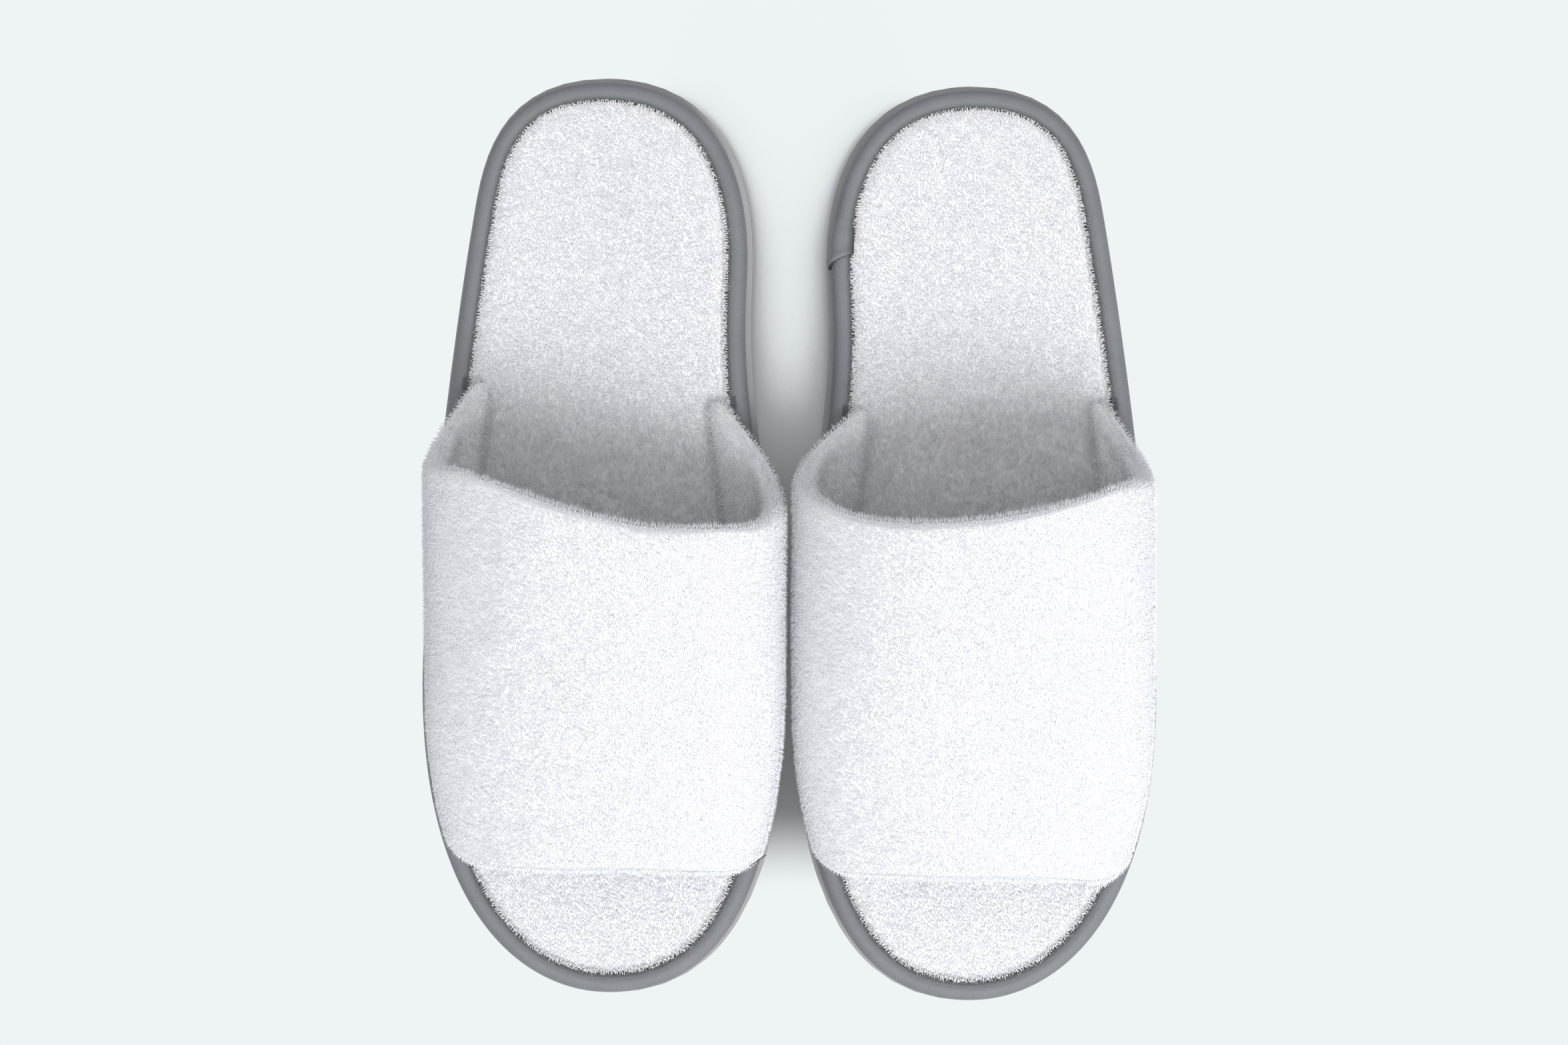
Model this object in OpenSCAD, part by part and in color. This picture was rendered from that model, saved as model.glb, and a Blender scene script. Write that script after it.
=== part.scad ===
// Pair of open-toe terry spa slippers: a bound terry footbed glued to a foam outsole, with a
// padded terry vamp arched over the instep. Millimetres. Toes point to -Y, heels to +Y, +Z is up.
// The slipper for the right foot stands at -X and the one for the left foot at +X.

/* [Pair] */
// Clear gap between the two slippers where they come closest
slipper_gap = 0.9; // [0.6:0.1:20]
// How far the right slipper stands ahead of the left one, towards the heels
stagger = 2.5; // [0:0.5:30]

/* [Sole length] */
// Length of the bound footbed
sole_len = 285; // [235:1:345]
// How far the toe tip sits to the inner side of the middle line
toe_tip_in = 1.5; // [0:0.5:6]

/* [Outer side of the sole] */
// Half width at the heel
heel_out = 41; // [34:0.5:50]
// Where that is, from the heel end
heel_out_at = 43; // [36:1:52]
// Sideways lean of the waist there
heel_out_lean = 0.17; // [0:0.01:0.3]
// Half width at the ball
ball_out = 57; // [47:0.5:69]
// Where that is, from the toe end
ball_out_at = 95; // [79:1:114]
// Fullness of the heel end
heel_end_out = 35; // [24:0.5:42]
// Fullness of the heel side
heel_side_out = 15.5; // [10:0.5:30]
// Reach of the waist curve from the heel
waist_back_out = 32; // [20:1:45]
// Reach of the waist curve from the ball
waist_front_out = 35; // [20:1:45]
// Fullness of the ball side
ball_side_out = 67; // [45:1:75]
// Fullness of the toe end
toe_end_out = 29; // [20:0.5:40]

/* [Inner side of the sole] */
// Half width at the heel
heel_in = 44.5; // [37:0.5:54]
// Where that is, from the heel end
heel_in_at = 63; // [53:1:75]
// Sideways lean of the waist there
heel_in_lean = -0.06; // [-0.1:0.01:0.2]
// Half width at the ball
ball_in = 55.5; // [47:0.5:67]
// Where that is, from the toe end
ball_in_at = 101; // [85:1:120]
// Fullness of the heel end
heel_end_in = 30.5; // [24:0.5:42]
// Fullness of the heel side
heel_side_in = 40; // [20:1:50]
// Reach of the waist curve from the heel
waist_back_in = 50; // [30:1:60]
// Reach of the waist curve from the ball
waist_front_in = 42; // [30:1:50]
// Fullness of the ball side
ball_side_in = 56; // [40:1:70]
// Fullness of the toe end
toe_end_in = 42; // [26:0.5:50]

/* [Outsole] */
// Thickness of the foam outsole
outsole_t = 5; // [3:0.5:10]
// How far the outsole stands out past the binding
outsole_welt = 1; // [0:0.1:3]
// How far the outsole was glued on towards the inner side
outsole_shift_in = 0.6; // [0:0.1:1]
// How far the outsole was glued on towards the heel
outsole_shift_back = 0.5; // [0:0.1:1]
// Depth of the tread grooves
groove_d = 1.2; // [0.6:0.1:2]
// Width of a tread groove
groove_w = 1.8; // [1:0.1:3]
// Distance from one groove to the next
groove_pitch = 9; // [6:0.5:14]
// How far each groove dips in the middle
groove_dip = 8; // [0:1:14]
// Plain margin around the tread
groove_margin = 9; // [6:0.5:14]

/* [Footbed] */
// Thickness of the stiffening board
board_t = 1.2; // [0.8:0.1:2.5]
// Thickness of the foam cushion
cushion_t = 4; // [2:0.5:8]
// Thickness of the terry cover with its pile
cover_t = 3; // [2:0.1:4.5]
// Thickness of the cover where the binding presses it flat
cover_hem_t = 0.8; // [0.5:0.1:1]

/* [Binding tape] */
// Thickness of the folded tape
tape_t = 0.8; // [0.5:0.1:1]
// Width of tape that shows on top
tape_w = 6.5; // [5:0.1:9]
// Width of tape turned under the footbed
tape_under_w = 7; // [5.5:0.1:10]
// How far the footbed edge sits inside the tape
tape_fill = 1.6; // [1.4:0.1:2.5]
// Height of the tape's crown above its flat margin
tape_crown = 0.5; // [0.2:0.1:0.9]
// Thickness of the lapped tape end
lap_t = 0.7; // [0.4:0.1:1]
// Width of the seam thread
thread_w = 0.5; // [0.3:0.05:0.7]

/* [Vamp] */
// Bare footbed behind the vamp, at the lowest point of the throat
heel_bare = 139; // [120:1:160]
// Bare footbed in front of the vamp
toe_bare = 40; // [30:1:55]
// How far the outer wing reaches back past the throat
wing_out = 45; // [30:1:54]
// How far the inner wing reaches back past the throat
wing_in = 39; // [28:1:48]
// Height of the throat above the floor
throat_rise = 62; // [52:1:76]
// Height of the toe edge above the floor
toe_rise = 42; // [36:1:52]
// Greatest half width on the outer side
vamp_out = 55; // [52:0.5:62]
// Greatest half width on the inner side
vamp_in = 57.4; // [54:0.2:64]
// How far the crest lies to the inner side
crest_in = 5; // [0:0.5:10]
// Thickness of the outer terry with its pile
terry_t = 3; // [2:0.1:4]
// Thickness of the foam inside the vamp
padding_t = 2; // [1:0.1:3]
// Thickness of the terry lining with its pile
lining_t = 3; // [2:0.1:4]
// Length of a backtack at a vamp corner
tack_len = 6; // [4:0.5:9]
// Width of a backtack
tack_w = 1.4; // [1:0.1:2]
// Height of a backtack
tack_h = 0.5; // [0.3:0.1:0.8]

/* [Hidden] */

// What differs from foot to foot: how far the toe edge is skewed towards the toes on the inner
// side, how far its corners lie behind its middle, the station of the outline where the tape
// laps, where across the vamp the throat is lowest and where its inner wing begins, how far
// back the throat steps on the outer side, how far back its lowest point is shifted, and how
// much shorter the outer wing is
RIGHT = [2.5, 1, 60, 0.15, 0.35, 17, 0, 0];
LEFT = [-3.3, -1, 71, 0.09, 0.1, 12, 4, 4];

// Levels of the sole's layers
board_z = outsole_t + tape_t;
cushion_z = board_z + board_t;
cover_z = cushion_z + cushion_t;
hem_z = cover_z + cover_hem_t;
top_z = cover_z + cover_t;
tape_z = hem_z + tape_t;

// Ends of the sole and of the vamp along Y
heel_y = sole_len / 2;
toe_y = -sole_len / 2;
throat_y = heel_y - heel_bare;
toe_edge_y = toe_y + toe_bare;

// Where each slipper stands
reach_in = max(vamp_in, ball_in + outsole_welt + outsole_shift_in);
stand_x = reach_in + slipper_gap / 2;
stand_y = -outsole_shift_back;

// Fineness of the outline and of the vamp
steps = 14;
lower_steps = 4;
upper_steps = 6;
vamp_steps = 10;
half_steps = lower_steps + upper_steps;

// Seat clearance of thread and lapped tape on the tape
seat = 0.02;

// --- curves -------------------------------------------------------------------------------

function bez(p, t) =
    pow(1 - t, 3) * p[0] + 3 * pow(1 - t, 2) * t * p[1]
    + 3 * (1 - t) * t * t * p[2] + pow(t, 3) * p[3];

function bez_dir(p, t) =
    pow(1 - t, 2) * (p[1] - p[0]) + 2 * (1 - t) * t * (p[2] - p[1]) + t * t * (p[3] - p[2]);

function unit(v) = v / norm(v);

// One side of the footbed from heel end to toe end, as three curves that join smoothly
function side_curves(s, heel_w, heel_at, lean, ball_w, ball_at,
                     heel_end, heel_side, waist_back, waist_front, ball_side, toe_end) =
    let (
        heel = [0, heel_y],
        hip = [s * heel_w, heel_y - heel_at],
        ball = [s * ball_w, toe_y + ball_at],
        toe = [toe_tip_in, toe_y],
        flow = unit([s * lean, -1])
    ) [
        [heel, heel + [s * heel_end, 0], hip - heel_side * flow, hip],
        [hip, hip + waist_back * flow, ball + [0, waist_front], ball],
        [ball, ball - [0, ball_side], toe + [s * toe_end, 0], toe]
    ];

outer_side = side_curves(-1, heel_out, heel_out_at, heel_out_lean, ball_out, ball_out_at,
                         heel_end_out, heel_side_out, waist_back_out, waist_front_out,
                         ball_side_out, toe_end_out);
inner_side = side_curves(1, heel_in, heel_in_at, heel_in_lean, ball_in, ball_in_at,
                         heel_end_in, heel_side_in, waist_back_in, waist_front_in,
                         ball_side_in, toe_end_in);

function turned(p) = [p[3], p[2], p[1], p[0]];

// The whole outline: down the outer side, round the toe and back up the inner side
outline = concat(outer_side, [turned(inner_side[2]), turned(inner_side[1]), turned(inner_side[0])]);
stations = len(outline) * steps;

// A point of the outline, moved inwards by d
function edge_at(i, d) =
    let (
        k = i % stations,
        curve = outline[floor(k / steps)],
        t = (k % steps) / steps,
        along = unit(bez_dir(curve, t))
    ) bez(curve, t) + d * [-along[1], along[0]];

function edge(d) = [for (i = [0:stations - 1]) edge_at(i, d)];

// Half width of the footbed at a place along Y, moved inwards by d, for side s
function half_width(s, y, d) =
    let (first = s < 0 ? 0 : stations / 2)
    lookup(y, [for (i = [first:first + stations / 2])
        let (p = edge_at(i, d)) [p[1], abs(p[0])]]);

// --- solids -------------------------------------------------------------------------------

module slab(d, z, t) {
    translate([0, 0, z]) linear_extrude(t) polygon(edge(d));
}

// Closed loop swept round the outline: section holds [distance inwards, height] pairs
module outline_ring(section) {
    n = len(section);
    points = [for (i = [0:stations - 1], q = section)
        let (p = edge_at(i, q[0])) [p[0], p[1], q[1]]];
    faces = [for (i = [0:stations - 1], j = [0:n - 1])
        let (
            a = i * n + j,
            b = i * n + (j + 1) % n,
            c = (i + 1) % stations * n + (j + 1) % n,
            d = (i + 1) % stations * n + j
        ) each [[a, b, c], [a, c, d]]];
    polyhedron(points, faces);
}

// Part of such a loop between two stations, with flat ends: a layer between two faces, each a
// list of [distance inwards, height] pairs
module outline_strip(over, under, first, last) {
    grid_shell(
        [for (i = [first:last]) [for (q = over) let (p = edge_at(i, q[0])) [p[0], p[1], q[1]]]],
        [for (i = [first:last]) [for (q = under) let (p = edge_at(i, q[0])) [p[0], p[1], q[1]]]]
    );
}

// Solid between two grids of points, the first one on the outside
module grid_shell(front, back) {
    m = len(front);
    n = len(front[0]);
    points = concat([for (row = front) each row], [for (row = back) each row]);
    o = m * n;
    skins = [for (i = [0:m - 2], j = [0:n - 2])
        let (a = i * n + j, b = a + 1, c = a + n + 1, d = a + n)
        each [[a, b, c], [a, c, d], [o + c, o + b, o + a], [o + d, o + c, o + a]]];
    side_edges = [for (i = [0:m - 2])
        let (a = i * n, b = a + n, c = a + n - 1, d = c + n)
        each [[a, b, o + b], [a, o + b, o + a], [d, c, o + c], [d, o + c, o + d]]];
    end_edges = [for (j = [0:n - 2])
        let (a = j, b = j + 1, c = (m - 1) * n + j, d = c + 1)
        each [[b, a, o + a], [b, o + a, o + b], [c, d, o + d], [c, o + d, o + c]]];
    polyhedron(points, concat(skins, side_edges, end_edges));
}

// --- vamp ---------------------------------------------------------------------------------

// Across the vamp, w runs from -1 at the outer foot to 1 at the inner foot. From its lowest
// point the throat climbs an even step to the outer shoulder, and then both wings reach back
step_span = 0.6;
wing_bend = 1.7;
function throat_line(w, foot) =
    let (
        low = throat_y + foot[6],
        wing_from = step_span - foot[3],
        step = min(max((foot[3] - w) / step_span, 0), 1),
        outer = max(-w - wing_from, 0) / (1 - wing_from),
        inner = max(w - foot[4], 0) / (1 - foot[4]),
        back_out = throat_y + wing_out - foot[7] - low - foot[5],
        back_in = throat_y + wing_in - low
    ) low + foot[5] * (1 - cos(180 * step)) / 2
        + back_out * pow(outer, wing_bend) + back_in * pow(inner, wing_bend);

function toe_line(w, foot) = toe_edge_y - foot[0] * w + foot[1] * w * w;

// Height of the crest above the footbed at a place along Y
function crest(y) =
    toe_rise - top_z + (throat_rise - toe_rise) * (y - toe_edge_y) / (throat_y - toe_edge_y);

// Greatest half width at a place along Y: straight at the waist, then in with the toe
follow_out = 1.0;
follow_in = 1.3;
function vamp_half(s, y) =
    let (
        ball_y = toe_y + (s < 0 ? ball_out_at : ball_in_at),
        full = s < 0 ? vamp_out : vamp_in,
        follow = s < 0 ? follow_out : follow_in
    ) full - follow * (half_width(s, ball_y, tape_w) - half_width(s, min(y, ball_y), tape_w));

// A point across the arch, d deep below the outer face. The arch leans out from its foot to
// its widest place and then closes over the instep. These are shares of the crest's height,
// and of the arch's half width for the first and the last
lean_out = 0.5;
lean_up = 0.14;
swell_up = 0.2;
widest = 0.42;
shoulder = 0.58;
flat_top = 0.6;
function arch(w, y, d) =
    let (
        s = w < 0 ? -1 : 1,
        foot = half_width(s, y, tape_w) - d,
        wide = vamp_half(s, y) - d,
        h = crest(y),
        k = (1 - abs(w)) * half_steps / lower_steps,
        u = (1 - abs(w) - lower_steps / half_steps) * half_steps / upper_steps,
        q = k <= 1
            ? bez([[foot, 0], [foot + lean_out * (wide - foot), lean_up * h],
                   [wide, swell_up * h], [wide, widest * h]], k)
            : bez([[wide, widest * h], [wide, widest * h + shoulder * (h - d - widest * h)],
                   [flat_top * wide + (1 - flat_top) * s * crest_in, h - d],
                   [s * crest_in, h - d]], u)
    ) [s * q[0], y, top_z + q[1]];

function vamp_grid(d, foot) =
    [for (i = [0:vamp_steps])
        [for (j = [-half_steps:half_steps])
            let (w = j / half_steps, v = i / vamp_steps)
            arch(w, (1 - v) * throat_line(w, foot) + v * toe_line(w, foot), d)]];

module vamp_layer(depth, t, foot) {
    grid_shell(vamp_grid(depth, foot), vamp_grid(depth + t, foot));
}

// --- parts --------------------------------------------------------------------------------

module groove() {
    reach = max(ball_out, ball_in) + outsole_welt;
    linear_extrude(2 * groove_d, center = true)
        polygon([[-reach, groove_dip], [0, 0], [reach, groove_dip],
                 [reach, groove_dip + groove_w], [0, groove_w], [-reach, groove_dip + groove_w]]);
}

module outsole() {
    color("white")
    translate([outsole_shift_in, outsole_shift_back, 0])
    difference() {
        slab(-outsole_welt, 0, outsole_t);
        intersection() {
            slab(groove_margin, -groove_d, 2 * groove_d);
            union() {
                for (y = [toe_y:groove_pitch:heel_y]) translate([0, y, 0]) groove();
            }
        }
    }
}

module sole_adhesive() {
    color("khaki") slab(tape_under_w, outsole_t, tape_t);
}

module insole_board() {
    color("tan") slab(tape_fill, board_z, board_t);
}

module insole_cushion() {
    color("lightyellow") slab(tape_fill, cushion_z, cushion_t);
}

module insole_cover() {
    color("snow") {
        slab(tape_fill, cover_z, cover_hem_t);
        slab(tape_w, cover_z, cover_t);
    }
}

// Outer face of the tape, g proud of it: from under the footbed, round the edge in an arc and
// over the crown to the margin, which then slopes down to the tape's inner edge
bulge = 1.8;
bulge_steps = 6;
crown_at = 0.5 * tape_w;
margin_at = 0.8 * tape_w;
margin_z = tape_z + 0.6 * tape_crown;
inner_z = hem_z + 0.5 * tape_t;
function tape_face(g) =
    let (mid = (outsole_t + tape_z + tape_crown / 2) / 2, half = mid - outsole_t)
    concat(
        [for (i = [0:bulge_steps])
            let (a = -90 + 180 * i / bulge_steps)
            [bulge - (bulge + g) * cos(a), mid + (half + g) * sin(a)]],
        [[crown_at, tape_z + tape_crown + g], [margin_at, margin_z + g]]
    );

module edge_binding() {
    color("slategray") outline_ring(concat(
        tape_face(0),
        [[tape_w, inner_z], [tape_w, hem_z], [tape_fill, hem_z],
         [tape_fill, board_z], [tape_under_w, board_z], [tape_under_w, outsole_t]]
    ));
}

lap_stations = 2;
module binding_lap(foot) {
    under = tape_face(seat);
    over = tape_face(seat + lap_t);
    n = len(under);
    // starts above the widest place, so the lapped end stays clear of the outsole
    first = bulge_steps / 2;
    color("lightslategray") outline_strip(
        [for (i = [first:n - 1]) over[i]], [for (i = [first:n - 1]) under[i]],
        foot[2], foot[2] + lap_stations);
}

// The seam thread lies on the tape's sloping margin
module binding_seam() {
    from = margin_at + thread_w / 2;
    to = from + thread_w;
    slope = [[margin_at, margin_z + seat], [tape_w, inner_z + seat]];
    low = lookup(to, slope);
    high = lookup(from, slope);
    color("dimgray")
        outline_ring([[from, high], [from, high + thread_w], [to, low + thread_w], [to, low]]);
}

module vamp_terry(foot) {
    color("white") vamp_layer(0, terry_t, foot);
}

module vamp_padding(foot) {
    color("lightyellow") vamp_layer(terry_t, padding_t, foot);
}

module vamp_lining(foot) {
    color("snow") vamp_layer(terry_t + padding_t, lining_t, foot);
}

// A backtack on the tape beside each corner of the vamp
module tack(s, y) {
    u = (crown_at + margin_at) / 2;
    x = s * half_width(s, y, u);
    lean = atan2(s * (half_width(s, y + 1, u) - half_width(s, y - 1, u)), 2);
    translate([x, y, tape_z + tape_crown + seat]) rotate([0, 0, -lean])
        translate([-tack_w / 2, -tack_len / 2, 0]) cube([tack_w, tack_len, tack_h]);
}

module vamp_tacks(foot) {
    color("gray") for (s = [-1, 1]) {
        tack(s, throat_line(s, foot) + tack_len / 2);
        tack(s, toe_line(s, foot) - tack_len / 2);
    }
}

// --- pair ---------------------------------------------------------------------------------

module right() {
    translate([-stand_x, stand_y + stagger / 2, 0]) children();
}

module left() {
    translate([stand_x, stand_y - stagger / 2, 0]) mirror([1, 0, 0]) children();
}

right() outsole();  // right_outsole
right() sole_adhesive();  // right_sole_adhesive
right() insole_board();  // right_insole_board
right() insole_cushion();  // right_insole_cushion
right() insole_cover();  // right_insole_cover
right() edge_binding();  // right_edge_binding
right() binding_lap(RIGHT);  // right_binding_lap
right() binding_seam();  // right_binding_seam
right() vamp_terry(RIGHT);  // right_vamp_terry
right() vamp_padding(RIGHT);  // right_vamp_padding
right() vamp_lining(RIGHT);  // right_vamp_lining
right() vamp_tacks(RIGHT);  // right_vamp_tacks
left() outsole();  // left_outsole
left() sole_adhesive();  // left_sole_adhesive
left() insole_board();  // left_insole_board
left() insole_cushion();  // left_insole_cushion
left() insole_cover();  // left_insole_cover
left() edge_binding();  // left_edge_binding
left() binding_lap(LEFT);  // left_binding_lap
left() binding_seam();  // left_binding_seam
left() vamp_terry(LEFT);  // left_vamp_terry
left() vamp_padding(LEFT);  // left_vamp_padding
left() vamp_lining(LEFT);  // left_vamp_lining
left() vamp_tacks(LEFT);  // left_vamp_tacks
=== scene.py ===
import math
from functools import cache

import bmesh
import bpy
import numpy as np
from bpy.props import FloatProperty, FloatVectorProperty, PointerProperty
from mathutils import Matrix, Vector, noise


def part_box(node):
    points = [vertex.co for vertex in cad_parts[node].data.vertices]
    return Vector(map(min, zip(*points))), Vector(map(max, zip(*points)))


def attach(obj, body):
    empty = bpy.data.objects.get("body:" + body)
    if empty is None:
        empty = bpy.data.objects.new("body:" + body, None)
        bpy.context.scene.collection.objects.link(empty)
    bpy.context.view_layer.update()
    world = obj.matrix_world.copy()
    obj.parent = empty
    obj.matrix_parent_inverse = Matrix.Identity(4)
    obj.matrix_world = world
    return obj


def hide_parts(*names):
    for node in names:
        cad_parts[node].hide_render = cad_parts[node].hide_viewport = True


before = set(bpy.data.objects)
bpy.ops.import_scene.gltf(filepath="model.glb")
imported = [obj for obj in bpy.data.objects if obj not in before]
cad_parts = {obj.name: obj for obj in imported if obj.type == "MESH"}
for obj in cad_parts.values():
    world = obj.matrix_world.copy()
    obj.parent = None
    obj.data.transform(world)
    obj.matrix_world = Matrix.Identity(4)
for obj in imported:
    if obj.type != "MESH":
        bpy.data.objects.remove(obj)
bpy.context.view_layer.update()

bl_info = {
    "name": "Terry spa slippers",
    "version": (1, 0, 0),
    "blender": (4, 5, 0),
    "location": "3D View > Sidebar > Slippers",
    "description": "Dresses the CAD frame of a pair of bound, open-toe terry slippers",
    "category": "Object",
}

MM = 0.001


# --- the frame ------------------------------------------------------------------------------


def corners(node):
    """Every corner of a CAD node, once."""
    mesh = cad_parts[node].data
    co = np.empty(len(mesh.vertices) * 3)
    mesh.vertices.foreach_get("co", co)
    return np.unique(co.reshape(-1, 3).round(6), axis=0)


def level(node, top=False):
    """Height of a node's underside, or of its top."""
    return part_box(node)[1 if top else 0].z


SOLE_TOP = level("right_outsole", top=True)
BOARD_BOTTOM = level("right_insole_board")
FOAM_BOTTOM = level("right_insole_cushion")
FOAM_TOP = level("right_insole_cushion", top=True)
COVER_TOP = level("right_insole_cover", top=True)
TAPE_TOP = level("right_edge_binding", top=True)
TAPE_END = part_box("right_edge_binding")[0].y
TAPE_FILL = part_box("right_insole_board")[0].y - TAPE_END


class Outline:
    """The bound edge from above, in the right foot's own frame, as a smooth closed curve that
    runs counterclockwise from the heel. Places on it are distances along it."""

    FINE = 4096

    def __init__(self, ring, inset):
        ring = np.roll(ring, -int(ring[:, 1].argmax()), axis=0)
        chord = np.linalg.norm(np.roll(ring, -1, 0) - ring, axis=1)
        slope = (np.roll(ring, -1, 0) - ring) / chord[:, None]
        count = len(ring)
        system = np.diag(2 * (np.roll(chord, 1) + chord))
        for i in range(count):
            system[i, i - 1] += chord[i - 1]
            system[i, (i + 1) % count] += chord[i]
        bend = np.linalg.solve(system, 6 * (slope - np.roll(slope, 1, 0)))
        ends = np.concatenate([[0], np.cumsum(chord)])
        place = np.arange(self.FINE) * ends[-1] / self.FINE
        i = np.searchsorted(ends, place, side="right") - 1
        t, h = (place - ends[i])[:, None], chord[i][:, None]
        here, there = bend[i], bend[(i + 1) % count]
        start = slope[i] - h * (2 * here + there) / 6
        points = ring[i] + t * start + t**2 * here / 2 + t**3 * (there - here) / (6 * h)
        along = start + t * here + t**2 * (there - here) / (2 * h)
        along /= np.linalg.norm(along, axis=1)[:, None]
        self.out = np.stack([along[:, 1], -along[:, 0]], 1)
        self.points = points + inset * self.out
        hops = np.linalg.norm(np.roll(self.points, -1, 0) - self.points, axis=1)
        self.places = np.concatenate([[0], np.cumsum(hops)])
        self.length = self.places[-1]

    def at(self, place, inset=0.0):
        """Points at some distances along the edge, moved inwards."""
        place = np.mod(place, self.length)
        around = np.concatenate([self.points, self.points[:1]])
        out = np.concatenate([self.out, self.out[:1]])
        p = np.stack([np.interp(place, self.places, around[:, k]) for k in (0, 1)], -1)
        n = np.stack([np.interp(place, self.places, out[:, k]) for k in (0, 1)], -1)
        return p - np.asarray(inset)[..., None] * n

    def evenly(self, count):
        return np.arange(count) * self.length / count

    def half_width(self, side, y, inset):
        """Width from the middle line to the edge on one side, -1 outer or 1 inner."""
        p = self.points - inset * self.out
        p = p[p[:, 0] * side >= 0]
        p = p[np.argsort(p[:, 1])]
        return np.interp(y, p[:, 1], abs(p[:, 0]))

    def distance(self, xy):
        """Distance of each point to the edge."""
        coarse = self.points[::8]
        return np.min(
            np.linalg.norm(xy[:, None, :] - coarse[None, :, :], axis=2), axis=1
        )


class Foot:
    """One slipper: the body it rides on, where it stands, and what sets its vamp apart from
    its partner's. Its own frame is the right foot's, with the inner side at +x."""

    def __init__(self, side, seed, **vamp):
        board = corners(side + "_insole_board")
        heel = board[board[:, 1].argmax()]
        middle = (board[:, 1].min() + board[:, 1].max()) / 2
        self.side = side
        self.body = side + "_slipper"
        self.hand = 1 if side == "right" else -1
        self.origin = np.array([heel[0], middle, 0.0])
        self.seed = seed
        self.vamp = vamp

    def place(self, points):
        """Points of the foot's own frame, in the shared frame."""
        return np.asarray(points, float) * (self.hand, 1, 1) + self.origin

    def own(self, points):
        """Points of the shared frame, in the foot's own."""
        return (np.asarray(points, float) - self.origin) * (self.hand, 1, 1)

    def piece(self, name):
        return f"{self.side}_{name}"


RIGHT = Foot(
    "right",
    seed=3,
    toe_skew=2.5 * MM,
    toe_bow=1 * MM,
    throat_low=0.15,
    wing_start=0.35,
    throat_step=17 * MM,
    throat_shift=0.0,
    wing_less=0.0,
)
LEFT = Foot(
    "left",
    seed=8,
    toe_skew=-3.3 * MM,
    toe_bow=-1 * MM,
    throat_low=0.09,
    wing_start=0.1,
    throat_step=12 * MM,
    throat_shift=4 * MM,
    wing_less=4 * MM,
)
FEET = (RIGHT, LEFT)


def board_ring():
    """The stiffening board's corners in order round its middle."""
    ring = RIGHT.own(corners("right_insole_board"))
    ring = ring[ring[:, 2] < BOARD_BOTTOM + 0.1 * MM][:, :2]
    return ring[np.argsort(np.arctan2(ring[:, 1], ring[:, 0]))]


EDGE = Outline(board_ring(), TAPE_FILL)


def cover_inset():
    """Distance from the edge to the raised part of the cover, which is the tape's width."""
    top = corners("right_insole_cover")
    top = top[top[:, 2] > COVER_TOP - 0.1 * MM]
    return top[:, 1].min() - TAPE_END


TAPE_WIDTH = cover_inset()


# --- meshes ---------------------------------------------------------------------------------


def grid_faces(rows, columns, closed_rows=False, closed_columns=False, first=0):
    """Quads between the points of a grid that is numbered row by row."""
    r = np.arange(rows if closed_rows else rows - 1)[:, None]
    c = np.arange(columns if closed_columns else columns - 1)[None, :]
    r2, c2 = (r + 1) % rows, (c + 1) % columns
    quads = np.stack(
        [r * columns + c, r * columns + c2, r2 * columns + c2, r2 * columns + c], -1
    )
    return quads.reshape(-1, 4) + first


def make_piece(name, points, faces, foot=None, smooth=True):
    """A mesh object from points and faces. A foot's points are placed, and the faces of a
    mirrored foot are turned, so that they still point outwards."""
    faces = faces.tolist() if isinstance(faces, np.ndarray) else faces
    if foot is not None:
        points = foot.place(points)
        faces = [f[:: foot.hand] for f in faces]
    mesh = bpy.data.meshes.new(name)
    mesh.from_pydata(np.asarray(points).tolist(), [], faces)
    mesh.polygons.foreach_set("use_smooth", [smooth] * len(mesh.polygons))
    mesh.update()
    made = bpy.data.objects.new(name, mesh)
    bpy.context.scene.collection.objects.link(made)
    return made


def read_points(mesh):
    co = np.empty(len(mesh.vertices) * 3)
    mesh.vertices.foreach_get("co", co)
    return co.reshape(-1, 3)


def write_points(mesh, points):
    mesh.vertices.foreach_set("co", np.asarray(points).ravel())
    mesh.update()


def set_attribute(mesh, name, kind, domain, values):
    field = "vector" if kind in ("FLOAT_VECTOR", "FLOAT2") else "value"
    made = mesh.attributes.get(name) or mesh.attributes.new(name, kind, domain)
    made.data.foreach_set(field, np.asarray(values).ravel())


def get_attribute(mesh, name, width=1):
    data = mesh.attributes[name].data
    values = np.empty(len(data) * width)
    data.foreach_get("vector" if width > 1 else "value", values)
    return values.reshape(-1, width) if width > 1 else values


def baked(made, keep=()):
    """Turns what the object's modifiers make into its plain mesh, with its one finish in the
    first slot. Attributes that the finish doesn't read are dropped."""
    bpy.context.view_layer.update()
    graph = bpy.context.evaluated_depsgraph_get()
    mesh = bpy.data.meshes.new_from_object(
        made.evaluated_get(graph), preserve_all_data_layers=True, depsgraph=graph
    )
    made.modifiers.clear()
    old = made.data
    made.data = mesh
    mesh.name = made.name
    bpy.data.meshes.remove(old)
    for name in [a.name for a in mesh.attributes]:
        known = mesh.attributes[name]
        if not (known.is_required or known.is_internal or name in keep):
            mesh.attributes.remove(known)
    finishes = [m for m in mesh.materials if m]
    mesh.materials.clear()
    for finish in finishes[:1]:
        mesh.materials.append(finish)
    return made


def weld(made, distance=0.001 * MM):
    """Merges doubles and points the faces outwards."""
    bm = bmesh.new()
    bm.from_mesh(made.data)
    bmesh.ops.remove_doubles(bm, verts=bm.verts, dist=distance)
    bmesh.ops.dissolve_degenerate(bm, edges=bm.edges, dist=distance)
    bmesh.ops.recalc_face_normals(bm, faces=bm.faces)
    bm.to_mesh(made.data)
    bm.free()
    return made


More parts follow.
